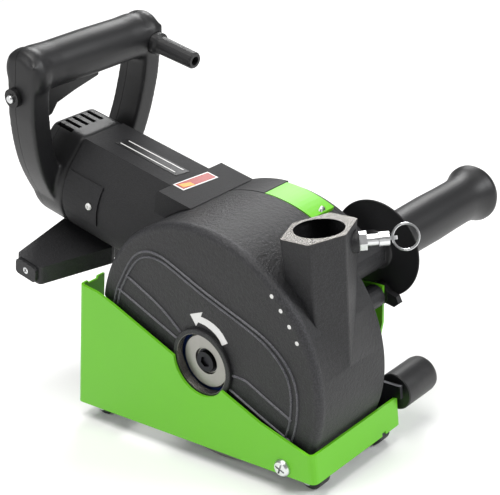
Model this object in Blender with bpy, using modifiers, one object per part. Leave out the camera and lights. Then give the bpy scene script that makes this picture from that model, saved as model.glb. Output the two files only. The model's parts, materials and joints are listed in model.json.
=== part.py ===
"""Wall chaser: a twin-wall groove cutter on a plunging guard sled.

Axes: +X is the cutting direction, +Y the machine's left hand, +Z up.  The
sizes below are in millimetres, counted from the foot of the guard's front wall
at mid width; SHIFT then brings the model's origin to the middle of its own
footprint, on the surface that the rollers stand on.
"""
import bpy
import bmesh
from math import atan2, cos, degrees, hypot, pi, radians, sin
from mathutils import Matrix, Vector

MM = 0.001
GAP = 0.3                       # running gap between pieces that touch

# Driving dimensions (mm, degrees)
GUARD_WIDTH = 95.0
GUARD_LENGTH = 224.0
GUARD_HEIGHT = 98.6
SHEET = 2.0
REAR_LEAN = 0.226               # how far the rear wall leans forward per mm of height
FRONT_WALL = 21.2
PIVOT = (-26.0, 6.0)            # plunge pivot, X and Z
SPINDLE = (-92.1, 62.6)         # blade spindle, X and Z
MOTOR_PITCH = 15.48             # nose-down angle of the motor axis
HOOD_PITCH = 26.35              # nose-down angle of the hood's flat edge
HOOD_FOOT = -14.0               # height of that edge over the spindle
HOOD_RADIUS = 97.6
HOOD_NEAR = -42.1
HOOD_FAR = 27.5
HOOD_WALL = 3.0
RING_RADIUS = 21.6
BLADE_RADIUS = 75.0
BLADE_COUNT = 4
BLADE_PITCH = 12.0
FIRST_BLADE = -34.0
MOTOR_Y = 19.0
MOTOR_RISE = 45.0               # motor axis above the spindle, square to the motor axis
MOTOR_RADIUS = 39.0
MOTOR_TOP = 84.6
MOTOR_FLAT = 19.0               # half width of the motor's flat top
MOTOR_REAR = -163.8
CAP_REAR = -198.0
HANDLE_SPLIT = -189.4
HANDLE_FRONT = -171.5
GRIP_M = -186.4
GRIP_N = 138.5
GRIP_RADIUS = 17.0
LEG_OFFSET = 54.5               # handle leg centre from the motor's middle plane
LEG_HALF = 8.0
LAY_SHAFT = (-19.4, 45.0)       # lay shaft, along and above in the motor frame
ROLLER_RADIUS = 9.0
ROLLER_AXLE = -4.5
ROLLER_X = (-15.0, -210.0)
ROLLER_Y = (-29.5, 36.6)
PORT = (-12.7, -6.3, 160.0)     # middle of the dust port's rim
PORT_BORE = 16.5
AUX_AXIS = (-27.6, 115.5)       # auxiliary handle, X and Z
AUX_DISC = 70.0
AUX_END = 195.0
FRONT_GRIP = (-5.0, 22.0)       # short front grip, X and Z
SHIFT = (125.02, -69.7, 13.4434)

FINISHES = {
    "green_paint": ((0.18, 0.62, 0.05, 1), 0.35, 0.0),
    "black_casting": ((0.055, 0.056, 0.060, 1), 0.55, 0.0),
    "black_plastic": ((0.030, 0.030, 0.032, 1), 0.50, 0.0),
    "black_rubber": ((0.022, 0.022, 0.023, 1), 0.70, 0.0),
    "zinc": ((0.62, 0.63, 0.64, 1), 0.30, 1.0),
    "steel": ((0.55, 0.55, 0.56, 1), 0.25, 1.0),
    "blade_blue": ((0.03, 0.07, 0.28, 1), 0.40, 0.3),
    "black_steel": ((0.04, 0.04, 0.045, 1), 0.35, 0.6),
    "iron": ((0.25, 0.25, 0.26, 1), 0.50, 0.8),
    "copper": ((0.70, 0.33, 0.17, 1), 0.35, 1.0),
    "label": ((0.75, 0.75, 0.74, 1), 0.40, 0.0),
}


# ---------------------------------------------------------------- helpers

def clear_scene():
    for ob in list(bpy.data.objects):
        bpy.data.objects.remove(ob, do_unlink=True)


def collection(name):
    group = bpy.data.collections.new(name)
    bpy.context.scene.collection.children.link(group)
    return group


def make_finishes():
    made = {}
    for name, (colour, roughness, metallic) in FINISHES.items():
        mat = bpy.data.materials.new(name)
        mat.use_nodes = True
        shader = mat.node_tree.nodes["Principled BSDF"]
        shader.inputs["Base Color"].default_value = colour
        shader.inputs["Roughness"].default_value = roughness
        shader.inputs["Metallic"].default_value = metallic
        made[name] = mat
    return made


def frame(name, location, parent=None, pitch=0.0):
    """An empty that carries pieces; pitch turns it nose-down about Y."""
    empty = bpy.data.objects.new(name, None)
    PARTS.objects.link(empty)
    empty.location = Vector(location) * MM
    empty.rotation_euler = (0.0, radians(pitch), 0.0)
    empty.parent = parent
    return empty


def axis_matrix(axis):
    """Turns local Z onto the named axis."""
    if axis == "Y":
        return Matrix.Rotation(-pi / 2, 4, "X")
    if axis == "X":
        return Matrix.Rotation(pi / 2, 4, "Y")
    return Matrix.Identity(4)


def plane_matrix(plane):
    """Places a drawing in XZ (thickness along Y), YZ (along X) or XY (along Z)."""
    if plane == "XZ":
        return Matrix.Rotation(pi / 2, 4, "X")
    if plane == "YZ":
        return Matrix(((0, 0, 1, 0), (1, 0, 0, 0), (0, 1, 0, 0), (0, 0, 0, 1)))
    return Matrix.Identity(4)


def finish_mesh(bm):
    bmesh.ops.remove_doubles(bm, verts=bm.verts, dist=1e-6)
    bmesh.ops.recalc_face_normals(bm, faces=bm.faces)
    mesh = bpy.data.meshes.new("shape")
    bm.to_mesh(mesh)
    bm.free()
    mesh.shade_smooth()
    mesh.set_sharp_from_angle(angle=radians(32))
    return mesh


def place(name, mesh, parent, finish, origin=(0, 0, 0)):
    """Adds a node whose mesh is drawn in its parent's millimetres."""
    mesh.name = name
    mesh.materials.append(MATERIALS[finish])
    ob = bpy.data.objects.new(name, mesh)
    PARTS.objects.link(ob)
    origin = Vector(origin)
    mesh.transform(Matrix.Translation(-origin * MM))
    ob.location = origin * MM
    ob.parent = parent
    return ob


def cutter(mesh, parent):
    ob = bpy.data.objects.new("cutter", mesh)
    CUTTERS.objects.link(ob)
    ob.hide_render = True
    ob.display_type = "WIRE"
    ob.parent = parent
    return ob


def combine(target, shapes, operation, parent=None):
    """Adds Boolean modifiers to a node: UNION or DIFFERENCE with each mesh."""
    for shape in shapes:
        modifier = target.modifiers.new(operation.lower(), "BOOLEAN")
        modifier.operation = operation
        modifier.solver = "EXACT"
        modifier.object = cutter(shape, parent or target.parent)
    return target


def box(low, high):
    size = Vector(high) - Vector(low)
    middle = (Vector(high) + Vector(low)) / 2
    bm = bmesh.new()
    bmesh.ops.create_cube(bm, size=1.0)
    bm.transform(Matrix.Translation(middle * MM) @ Matrix.Diagonal((*(size * MM), 1.0)))
    return finish_mesh(bm)


def rod(radius, start, end, axis="Y", at=(0.0, 0.0), sides=24, end_radius=None, turn=0.0):
    """A cylinder or cone from start to end along an axis; at holds the other two places."""
    bm = bmesh.new()
    far = radius if end_radius is None else end_radius
    bmesh.ops.create_cone(bm, cap_ends=True, segments=sides, radius1=radius * MM,
                          radius2=far * MM, depth=(end - start) * MM)
    bm.transform(Matrix.Rotation(turn, 4, "Z"))
    bm.transform(Matrix.Translation((0, 0, (start + end) / 2 * MM)))
    bm.transform(axis_matrix(axis))
    offset = {"X": (0, at[0], at[1]), "Y": (at[0], 0, at[1]), "Z": (at[0], at[1], 0)}[axis]
    bm.transform(Matrix.Translation(Vector(offset) * MM))
    return finish_mesh(bm)


def turned(profile, axis="Y", at=(0.0, 0.0), steps=32):
    """A solid of revolution; profile is (radius, place) from the far end down the outer side."""
    mesh = bpy.data.meshes.new("profile")
    points = [(r * MM, 0.0, h * MM) for r, h in profile]
    closed = profile[0] == profile[-1]
    if closed:
        points = points[:-1]
    count = len(points)
    edges = [(i, i + 1) for i in range(count - 1)]
    if closed:
        edges.append((count - 1, 0))
    mesh.from_pydata(points, edges, [])
    ob = bpy.data.objects.new("profile", mesh)
    bpy.context.scene.collection.objects.link(ob)
    screw = ob.modifiers.new("turn", "SCREW")
    screw.steps = steps
    screw.render_steps = steps
    screw.use_merge_vertices = True
    screw.merge_threshold = 0.00001
    out = evaluated(ob)
    out.transform(axis_matrix(axis))
    offset = {"X": (0, at[0], at[1]), "Y": (at[0], 0, at[1]), "Z": (at[0], at[1], 0)}[axis]
    out.transform(Matrix.Translation(Vector(offset) * MM))
    bm = bmesh.new()
    bm.from_mesh(out)
    bpy.data.meshes.remove(out)
    return finish_mesh(bm)


def evaluated(ob):
    """The object's mesh with its modifiers applied; the object is removed."""
    graph = bpy.context.evaluated_depsgraph_get()
    mesh = bpy.data.meshes.new_from_object(ob.evaluated_get(graph))
    data = ob.data
    bpy.data.objects.remove(ob, do_unlink=True)
    if isinstance(data, bpy.types.Curve):
        bpy.data.curves.remove(data)
    return mesh


def plate(loops, start, end, plane="XZ"):
    """A flat outline with holes, from start to end along the plane's normal."""
    curve = bpy.data.curves.new("outline", "CURVE")
    curve.dimensions = "2D"
    curve.fill_mode = "BOTH"
    curve.extrude = (end - start) / 2 * MM
    for loop in loops:
        spline = curve.splines.new("POLY")
        spline.points.add(len(loop) - 1)
        for point, (u, v) in zip(spline.points, loop):
            point.co = (u * MM, v * MM, 0.0, 1.0)
        spline.use_cyclic_u = True
    ob = bpy.data.objects.new("outline", curve)
    bpy.context.scene.collection.objects.link(ob)
    mesh = evaluated(ob)
    middle = (start + end) / 2 * MM
    offset = {"XZ": (0, middle, 0), "YZ": (middle, 0, 0), "XY": (0, 0, middle)}[plane]
    mesh.transform(Matrix.Translation(offset) @ plane_matrix(plane))
    bm = bmesh.new()
    bm.from_mesh(mesh)
    bpy.data.meshes.remove(mesh)
    return finish_mesh(bm)


def arc(middle, radius, start, end, count):
    """Points on an arc, angles in degrees, both ends included."""
    points = []
    for i in range(count + 1):
        angle = radians(start + (end - start) * i / count)
        points.append((middle[0] + radius * cos(angle), middle[1] + radius * sin(angle)))
    return points


def ring(middle, radius, count=24):
    return arc(middle, radius, 0, 360, count)[:-1]


def rounded(corners, radius, count=4):
    """A closed polygon with each corner rounded to the radius."""
    points = []
    total = len(corners)
    for i in range(total):
        here = Vector(corners[i])
        before = (Vector(corners[i - 1]) - here).normalized()
        after = (Vector(corners[(i + 1) % total]) - here).normalized()
        half = before.angle(after) / 2
        reach = radius / max(0.2, abs(sin(half) / cos(half)))
        middle = here + (before + after).normalized() * (radius / sin(half))
        first = here + before * reach - middle
        last = here + after * reach - middle
        turn = first.angle_signed(last)
        for k in range(count + 1):
            spoke = Matrix.Rotation(-turn * k / count, 2) @ first
            points.append(tuple(middle + spoke))
    return points


def rectangle(low, high):
    return [low, (high[0], low[1]), high, (low[0], high[1])]


def toothed(teeth, root, tip, phase=0.0, share=0.42):
    """A gear outline with straight-sided teeth."""
    points = []
    step = 360.0 / teeth
    for i in range(teeth):
        middle = phase + i * step
        for radius, offset in ((root, -share * 0.72), (tip, -share * 0.28),
                               (tip, share * 0.28), (root, share * 0.72)):
            angle = radians(middle + offset * step)
            points.append((radius * cos(angle), radius * sin(angle)))
    return points


def moved(points, by):
    return [(u + by[0], v + by[1]) for u, v in points]


def bevelled(mesh, width, segments=2, angle=30):
    """The mesh with its sharper edges rounded."""
    ob = bpy.data.objects.new("bevelled", mesh)
    bpy.context.scene.collection.objects.link(ob)
    modifier = ob.modifiers.new("round", "BEVEL")
    modifier.width = width * MM
    modifier.segments = segments
    modifier.limit_method = "ANGLE"
    modifier.angle_limit = radians(angle)
    out = evaluated(ob)
    bpy.data.meshes.remove(mesh)
    bm = bmesh.new()
    bm.from_mesh(out)
    bpy.data.meshes.remove(out)
    return finish_mesh(bm)


def pan_screw(head, shank, start, length, at, axis="Y", height=3.4, outward=-1):
    """A domed screw whose head stands outward of start; the shank runs the other way."""
    top = start + outward * height
    end = start - outward * length
    profile = [(0, top), (head * 0.62, top), (head * 0.93, start + outward * height * 0.55),
               (head, start + outward * 0.8), (head, start), (shank, start), (shank, end), (0, end)]
    if outward < 0:
        profile = profile[::-1]
    return turned(profile, axis, at, 20)


# ---------------------------------------------------------------- guard sled

def guard_shell(base):
    half = GUARD_WIDTH / 2
    outer = rounded(rectangle((-GUARD_LENGTH, -half), (0, half)), 4.5)
    inner = rounded(rectangle((-GUARD_LENGTH + SHEET, -half + SHEET), (-SHEET, half - SHEET)), 2.5)
    strip = plate([outer, inner], 0, GUARD_HEIGHT + 6, "XY")
    for vertex in strip.vertices:
        if vertex.co.x < -GUARD_LENGTH * MM / 2:
            vertex.co.x += vertex.co.z * REAR_LEAN
    shell = place("guard_shell", strip, base, "green_paint")
    top = GUARD_HEIGHT + 40
    near_edge = [(-250, GUARD_HEIGHT), (-198, GUARD_HEIGHT), (-183, 95.8), (-168.4, 89.7)]
    near_edge += arc(SPINDLE, 22.8, 176, 322, 18)
    near_edge += [(-41.9, 33.4), (-9.7, 22.9), (-4, FRONT_WALL), (20, FRONT_WALL), (20, top), (-250, top)]
    low = 11.0
    far_edge = [(-250, low), (-152, low), (-152, -5), (-64, -5), (-64, low), (-56, FRONT_WALL),
                (20, FRONT_WALL), (20, top), (-250, top)]
    notch = [(-40, GUARD_HEIGHT + 8), (-40, GUARD_HEIGHT - 2), (-31, GUARD_HEIGHT - 2), (-27, GUARD_HEIGHT + 8)]
    cuts = [plate([near_edge], -half - 10, -24, "XZ"), plate([far_edge], -24.01, half + 10, "XZ"),
            plate([notch], -240, -190, "YZ"),
            rod(3.3, -half - 5, half + 5, "Y", PIVOT),
            box((-5, 25.5, -3), (5, 30, 2.4))]
    return combine(shell, cuts, "DIFFERENCE")


def sole_plate(base):
    """Steel sole with the blade slot, roller windows and pressed-down roller ears."""
    outline = [(-220.8, -43.2), (-218.9, -45.1), (-5, -45.1), (-2.5, -42.6), (-2.5, 42.6), (-5, 45.1),
               (-64, 45.1), (-64, 26.2), (-152, 26.2), (-152, 45.1), (-218.9, 45.1), (-220.8, 43.2)]
    slot = [(-182, -40.5), (-40, -40.5), (-40, -43.4), (-5.2, -43.4), (-5.2, 43.5), (-31, 43.5),
            (-31, 29.9), (-40, 29.9), (-40, 12.5), (-182, 12.5), (-186, 8.5), (-186, -36.5)]
    x = ROLLER_X[1]
    windows = [rectangle((x - 9.5, y - 6.6), (x + 9.5, y + 6.6)) for y in ROLLER_Y]
    sole = place("sole_plate", plate([outline, slot] + windows, 0.3, 2.3, "XY"), base, "zinc")
    ears = []
    for x, tip in zip(ROLLER_X, (-3.6, -204.0)):
        outline = [(tip, 2.1), (x - 6, 2.1)] + arc((x, ROLLER_AXLE), 4.4, 180, 360, 8) + [(x + 5, 0.5), (tip, 0.5)]
        for y in ROLLER_Y:
            for side in (-1, 1):
                start = y + side * 7.8 - 0.8
                ears.append(plate([outline, ring((x, ROLLER_AXLE), 2.3, 12)], start, start + 1.6, "XZ"))
    return combine(sole, ears, "UNION")


def rollers(base):
    profile = [(2.4, 6), (ROLLER_RADIUS - 1, 6), (ROLLER_RADIUS, 5), (ROLLER_RADIUS, -5),
               (ROLLER_RADIUS - 1, -6), (2.4, -6), (2.4, 6)]
    for x, end in zip(ROLLER_X, ("front", "rear")):
        for y, side in zip(ROLLER_Y, ("near", "far")):
            mesh = turned(profile, "Y", steps=28)
            mesh.transform(Matrix.Rotation(pi / 28, 4, "Y"))
            mesh.transform(Matrix.Translation(Vector((x, y, ROLLER_AXLE)) * MM))
            place("roller_" + end + "_" + side, mesh, base, "black_rubber", (x, y, ROLLER_AXLE))
        place("roller_axle_" + end, rod(2.0, -39.3, 45.2, "Y", (x, ROLLER_AXLE), 16), base, "steel")


def pivot_parts(base):
    half = GUARD_WIDTH / 2
    near = pan_screw(6.1, 2.9, -half - GAP, 12.0, PIVOT)
    place("pivot_screw_near", near, base, "zinc")
    far = pan_screw(6.1, 2.9, half + 2.6, 26.0, PIVOT, outward=1)
    place("pivot_screw_far", far, base, "zinc")
    place("return_spring", coil((PIVOT[0], 31.0, PIVOT[1]), 4.6, 0.7, 2.3, 5.0), base, "steel")


def coil(start, radius, wire, pitch, turns, per_turn=12):
    """A coil of wire wound along +Y, as a closed tube."""
    curve = bpy.data.curves.new("coil", "CURVE")
    curve.dimensions = "3D"
    curve.bevel_depth = wire * MM
    curve.bevel_resolution = 1
    curve.use_fill_caps = True
    spline = curve.splines.new("POLY")
    count = int(turns * per_turn)
    spline.points.add(count)
    for i, point in enumerate(spline.points):
        angle = 2 * pi * i / per_turn
        place_now = Vector((start[0] + radius * cos(angle), start[1] + pitch * i / per_turn,
                            start[2] + radius * sin(angle)))
        point.co = (*(place_now * MM), 1.0)
    ob = bpy.data.objects.new("coil", curve)
    bpy.context.scene.collection.objects.link(ob)
    bm = bmesh.new()
    bm.from_mesh(evaluated(ob))
    return finish_mesh(bm)


def front_grip_parts(base):
    x, z = FRONT_GRIP
    outline = [(-18, 5.5), (-4.6, 5.5), (-4.6, 21.6), (4.5, 21.6), (4.5, 31), (-10, 31), (-18, 22)]
    mount = place("front_grip_mount", plate([outline], 42.4, 45.2, "XZ"), base, "black_steel")
    combine(mount, [rod(3.0, 43, 70, "Y", (x, z + 2.6), 16)], "UNION")
    tube = [(0, 84), (8.5, 84), (11.6, 82.6), (13.0, 79.5), (13.2, 48.2), (0, 48.2)]
    grip = place("front_grip", turned(tube, "Y", (x, z), 28), base, "black_rubber")
    combine(grip, [rod(3.3, 40, 71, "Y", (x, z + 2.6), 16)], "DIFFERENCE")


def depth_bracket(base):
    """Upright beside the hood with an arc slot about the plunge pivot, on a bent foot."""
    outer = [(-44, 15.0), (-27, 15.0), (-27, 40), (-19.5, 66)] + arc(PIVOT, 88, 84.2, 119, 8)
    outer += arc(PIVOT, 71, 119, 104, 3) + [(-44, 50)]
    slot = arc(PIVOT, 83.2, 85.8, 116, 10) + arc(PIVOT, 76.8, 116, 85.8, 10)
    bracket = place("depth_bracket", plate([outer, slot], 59.4, 61.4, "XZ"), base, "green_paint")
    step = [(47.8, 3), (49.8, 3), (49.8, 13.4), (61.2, 13.4), (61.2, 19), (59.6, 19), (59.6, 15.4), (47.8, 15.4)]
    combine(bracket, [plate([step], -43.7, -19.5, "YZ")], "UNION")
    return combine(bracket, [rod(3.3, 45, 52, "Y", PIVOT, 20)], "DIFFERENCE")


# ---------------------------------------------------------------- hood

def half_disc(radius, drop=0.0, count=44):
    """Half disc above the line z = -drop."""
    dip = degrees(atan2(drop, hypot(radius, 0)))
    return arc((0, 0), radius, -dip, 180 + dip, count)


def hood_shell(hood):
    """Drum-shaped blade hood: near wall, rim, dust port, ring boss and pivot lugs."""
    r = HOOD_RADIUS
    rounding = [(r - 5 + 5 * cos(radians(a)), HOOD_NEAR + 5 - 5 * sin(radians(a))) for a in (0, 30, 60, 90)]
    drum = turned([(0, HOOD_FAR), (r, HOOD_FAR)] + rounding + [(0, HOOD_NEAR)], "Y", steps=72)
    shell = place("hood", drum, hood, "black_casting")
    combine(shell, [box((-r - 5, -60, -r - 5), (r + 5, 40, HOOD_FOOT))], "DIFFERENCE")
    grown = [rod(25.2, -45.0, -39.6, "Y", (0, 0), 40), plate([lug_outline(88)], HOOD_NEAR + 0.2, -38.6, "XZ"),
             plate([lug_outline(97.2)], 24.3, HOOD_FAR - 0.1, "XZ"), port_body()]
    combine(shell, grown, "UNION")
    inner = turned([(0, 30), (r - HOOD_WALL, 30), (r - HOOD_WALL, HOOD_NEAR + 5),
                    (r - 5.4, HOOD_NEAR + 2.6), (0, HOOD_NEAR + 2.6)], "Y", steps=72)
    chamber = place_free(inner, hood)
    chamber_cut = chamber.modifiers.new("difference", "BOOLEAN")
    chamber_cut.object = cutter(box((-r - 5, -60, -r - 5), (r + 5, 40, HOOD_FOOT - 0.5)), hood)
    chamber_cut.operation = "DIFFERENCE"
    modifier = shell.modifiers.new("difference", "BOOLEAN")
    modifier.operation = "DIFFERENCE"
    modifier.object = chamber
    motor_hole = rod(15.5, -110, -70, "X", (0, 0), 32)
    motor_hole.transform(motor_to_hood() @ Matrix.Translation(Vector((0, MOTOR_Y, MOTOR_RISE)) * MM))
    cuts = [rod(RING_RADIUS, -60, -36, "Y", (0, 0), 40), port_bore(), motor_hole]
    pivot = base_to_hood(PIVOT)
    cuts += [rod(3.4, -50, 40, "Y", pivot, 20)]
    plunger_hole = rod(2.2, -14, 10, "X", (0, 0), 16)
    seat = rod(7.4, -7, 1.5, "X", (0, 0), 20)
    barrel_hole = rod(4.0, -4.3, 10, "X", (0, 0), 20)
    for mesh in (plunger_hole, seat, barrel_hole):
        mesh.transform(plunger_in_hood())
    combine(shell, [seat], "UNION")
    cuts += [plunger_hole, barrel_hole]
    return combine(shell, cuts, "DIFFERENCE")


def place_free(mesh, parent):
    return cutter(mesh, parent)


def base_to_hood(point):
    """A base X and Z seen in the hood's own frame."""
    dx = point[0] - SPINDLE[0]
    dz = point[1] - SPINDLE[1]
    a = radians(HOOD_PITCH)
    return (dx * cos(a) - dz * sin(a), dx * sin(a) + dz * cos(a))


def upright_in_hood():
    """Matrix that brings base directions into the hood's frame, about the spindle."""
    return Matrix.Rotation(-radians(HOOD_PITCH), 4, "Y")


def motor_to_hood():
    return Matrix.Rotation(-radians(HOOD_PITCH - MOTOR_PITCH), 4, "Y")


def lug_outline(reach):
    """Ear that hangs from the hood's front end down to the pivot."""
    u, v = base_to_hood(PIVOT)
    return arc((u, v), 8.5, 200, 345, 10) + [(reach, 4), (60, 4)]


def plunger_in_hood():
    """Places plunger shapes, drawn along their own X, on the dust port."""
    where = Vector((1.0 - SPINDLE[0], 12.5, 147.0 - SPINDLE[1])) * MM
    return upright_in_hood() @ Matrix.Translation(where) @ Matrix.Rotation(radians(42), 4, "Z")


def port_hexagon(scale=1.0, lean=0.0):
    x = PORT[0] - SPINDLE[0]
    corners = [(21, 0), (11, 25), (-11, 25), (-21, 0), (-11, -25), (11, -25)]
    return [(x + u * scale + lean, PORT[1] + v * scale) for u, v in corners]


def port_body():
    """Hexagonal dust port, standing upright on the hood's front shoulder."""
    rim = PORT[2] - SPINDLE[1]
    mesh = plate([port_hexagon()], -6, rim, "XY")
    for vertex in mesh.vertices:
        if vertex.co.z < 0:
            vertex.co.x -= 3 * MM
            vertex.co.y = (PORT[1] - 3) * MM + (vertex.co.y - PORT[1] * MM) * 0.72
    mesh.transform(upright_in_hood())
    return mesh


def port_bore():
    x = PORT[0] - SPINDLE[0]
    rim = PORT[2] - SPINDLE[1]
    mesh = rod(PORT_BORE - 2, 30, rim + 2, "Z", (x, PORT[1]), 36, PORT_BORE)
    mesh.transform(upright_in_hood())
    return mesh


# ---------------------------------------------------------------- gear housing (motor frame)

def gear_outline(radius, front=58.0):
    """Rear part of the drum with a round boss about the spindle, in the motor frame."""
    points = arc((0, 0), radius, front, 172, 34)
    points += arc((0, 0), 28.2, 196, 335, 14)
    return points + [(34, 8), (40, 40)]


def gear_case(motor):
    """Gear housing with its flange, auxiliary handle boss and cavity, and its cover."""
    outer = HOOD_RADIUS - 3.6
    aux = base_to_motor(AUX_AXIS)
    lock = lock_place()
    housing = place("gear_housing", plate([gear_outline(outer)], 7.6, 53.8, "XZ"), motor, "black_casting")
    flange = arc((0, 0), 93.7, -10.3, 166, 44) + arc((0, 0), 27, 190, 349, 8)
    rim = arc((0, 0), HOOD_RADIUS, 102.3, 170, 22) + arc((0, 0), 88, 170, 102.3, 22)
    grown = [plate([flange], 23.6, HOOD_FAR + 0.6, "XZ"), plate([rim], HOOD_FAR + GAP, 53.5, "XZ"),
             rod(12.5, HOOD_FAR + GAP, 62, "Y", aux, 28), rod(8.0, HOOD_FAR, 58.8, "Y", lock, 20)]
    combine(housing, grown, "UNION")
    cavity = arc((0, 0), 89.6, 62, 168, 30) + arc((0, 0), 26.6, 196, 335, 12) + [(30, 10), (36, 42)]
    combine(housing, [plate([cavity], 11.2, 60, "XZ")], "DIFFERENCE")
    combine(housing, [rod(18.0, 11, 24.4, "Y", (0, 0), 32)], "UNION")
    axis = (MOTOR_Y, MOTOR_RISE)
    cuts = [rod(15.0, -100, -83, "X", axis, 32), rod(9.4, -90, -30, "X", axis, 28), rod(9.4, 5, 30, "Y", (0, 0), 28),
            rod(14.3, 15.1, 30, "Y", (0, 0), 32), rod(5.2, 30, 70, "Y", aux, 20), rod(3.0, 30, 70, "Y", lock, 16)]
    combine(housing, cuts, "DIFFERENCE")
    cover = place("gear_cover", plate([gear_outline(outer)], 54.1, 57.0, "XZ"), motor, "black_casting")
    combine(cover, [rod(17.5, 46.2, 55, "Y", (0, 0), 32)], "UNION")
    combine(cover, [rod(14.3, 40, 54.8, "Y", (0, 0), 32), rod(12.9, 50, 60, "Y", aux, 24),
                    rod(8.4, 50, 60, "Y", lock, 20)], "DIFFERENCE")
    outline = arc((0, 0), HOOD_RADIUS, 77.5, 101.8, 10) + arc((0, 0), 94.6, 101.8, 77.5, 10)
    place("top_cover", plate([outline], HOOD_FAR + GAP, 51.0, "XZ"), motor, "green_paint")


def base_to_motor(point):
    """A base X and Z seen in the motor's own frame."""
    dx = point[0] - SPINDLE[0]
    dz = point[1] - SPINDLE[1]
    a = radians(MOTOR_PITCH)
    return (dx * cos(a) - dz * sin(a), dx * sin(a) + dz * cos(a))


def lock_place():
    """The depth lock's stud, on the slot's circle about the plunge pivot."""
    return base_to_motor((PIVOT[0] + 80 * cos(radians(88)), PIVOT[1] + 80 * sin(radians(88))))


def depth_lock(motor):
    """Stud and wing knob that clamp the hood to the depth bracket."""
    u, v = lock_place()
    knob = place("depth_lock_knob", rod(2.5, 38, 67, "Y", (u, v), 16), motor, "black_plastic", (u, 60, v))
    wing = [(-5, -5), (14, -4), (17, 0), (14, 4), (-5, 5), (-7, 0)]
    combine(knob, [plate([moved(wing, (u, v))], 62.2, 66.8, "XZ"), rod(8.0, 61.7, 66.4, "Y", (u, v), 20)], "UNION")


# ---------------------------------------------------------------- spindle, gears, bearings

def washer(name, outer, inner, start, end, parent, finish, axis="Y", at=(0.0, 0.0), steps=32):
    profile = [(inner, end), (outer, end), (outer, start), (inner, start), (inner, end)]
    return place(name, turned(profile, axis, at, steps), parent, finish)


def blade_outline(slots=12):
    """Diamond blade rim: segments divided by narrow gullets."""
    points = []
    step = 360.0 / slots
    for i in range(slots):
        start = i * step
        points += arc((0, 0), BLADE_RADIUS, start + 1.4, start + step - 1.4, 5)
        points += arc((0, 0), BLADE_RADIUS - 9, start + step - 1.1, start + step + 1.1, 1)
    return points


def spindle_parts(spindle):
    shaft = [(0, 54.5), (8.0, 54.5), (8.0, -36.6), (0, -36.6)]
    ob = place("spindle", turned(shaft, "Y", steps=28), spindle, "steel")
    combine(ob, [rod(4.2, -40, -12, "Y", (0, 0), 20)], "DIFFERENCE")
    for i in range(BLADE_COUNT):
        y = FIRST_BLADE + i * BLADE_PITCH
        loops = [blade_outline(), ring((0, 0), 8.3, 28)]
        place("blade_%d" % (i + 1), plate(loops, y - 1.3, y + 1.3, "XZ"), spindle, "blade_blue")
        if i:
            washer("blade_spacer_%d" % i, 15.0, 8.3, y - BLADE_PITCH + 1.6, y - 1.6, spindle, "zinc")
    last = FIRST_BLADE + (BLADE_COUNT - 1) * BLADE_PITCH
    washer("inner_flange", 19.0, 8.3, last + 1.6, last + 5.2, spindle, "steel")
    face = [(0, -39.9), (19.8, -39.9), (19.8, -35.6), (0, -35.6)]
    flange = place("outer_flange", turned(face[::-1], "Y", steps=40), spindle, "steel")
    combine(flange, [rod(7.6, -45, -38.2, "Y", (0, 0), 28), rod(4.3, -45, -30, "Y", (0, 0), 20),
                     rod(8.3, -36.9, -30, "Y", (0, 0), 28)], "DIFFERENCE")
    bolt = place("blade_bolt", rod(7.2, -41.0, -38.5, "Y", (0, 0), 28), spindle, "black_steel")
    combine(bolt, [rod(4.0, -39, -14, "Y", (0, 0), 20)], "UNION")
    combine(bolt, [rod(4.1, -42, -39.2, "Y", (0, 0), 6)], "DIFFERENCE")
    loops = [toothed(24, 21.8, 25.6), ring((0, 0), 8.3, 24)]
    place("spindle_gear", plate(loops, 36, 45, "XZ"), spindle, "iron")


def bevel_wheel_mesh(teeth, inner, outer, back):
    """Face-toothed wheel whose tooth tops follow a cone with its tip at the origin."""
    bm = bmesh.new()
    rings = []
    count = teeth * 4
    for i in range(count):
        angle = 2 * pi * i / count
        lift = 0.4 if i % 4 in (0, 1) else 1.7
        row = []
        for radius, height in ((inner, inner / 3 + lift), (outer, outer / 3 + lift), (outer, back), (inner, back)):
            row.append(bm.verts.new(Vector((radius * cos(angle), radius * sin(angle), height)) * MM))
        rings.append(row)
    for i in range(count):
        here = rings[i]
        after = rings[(i + 1) % count]
        for k in range(4):
            bm.faces.new((here[k], after[k], after[(k + 1) % 4], here[(k + 1) % 4]))
    return finish_mesh(bm)


def lay_parts(lay):
    """Lay shaft with the bevel wheel and the gear that drives the spindle."""
    shaft = [(0, 53), (6.0, 53), (6.0, 17.2), (0, 17.2)]
    place("lay_shaft", turned(shaft, "Y", steps=24), lay, "steel")
    wheel = bevel_wheel_mesh(30, 15.0, 27.0, 12.0)
    wheel.transform(Matrix.Translation((0, MOTOR_Y * MM, 0)) @ axis_matrix("Y"))
    combine(place("bevel_wheel", wheel, lay, "iron"), [washer_mesh(15.4, 6.3, 27.0, 32.8)], "UNION")
    phase = degrees(atan2(-LAY_SHAFT[1], -LAY_SHAFT[0]))
    mesh = degrees(atan2(LAY_SHAFT[1], LAY_SHAFT[0]))
    beat = (mesh * 24 / 360.0) % 1.0
    turn = phase + (0.5 + beat) * 360.0 / 25
    loops = [toothed(25, 22.8, 26.6, turn), ring((0, 0), 6.3, 24)]
    place("lay_gear", plate(loops, 36, 45, "XZ"), lay, "iron")


def washer_mesh(outer, inner, start, end, steps=32):
    return turned([(inner, end), (outer, end), (outer, start), (inner, start), (inner, end)], "Y", steps=steps)


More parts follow.
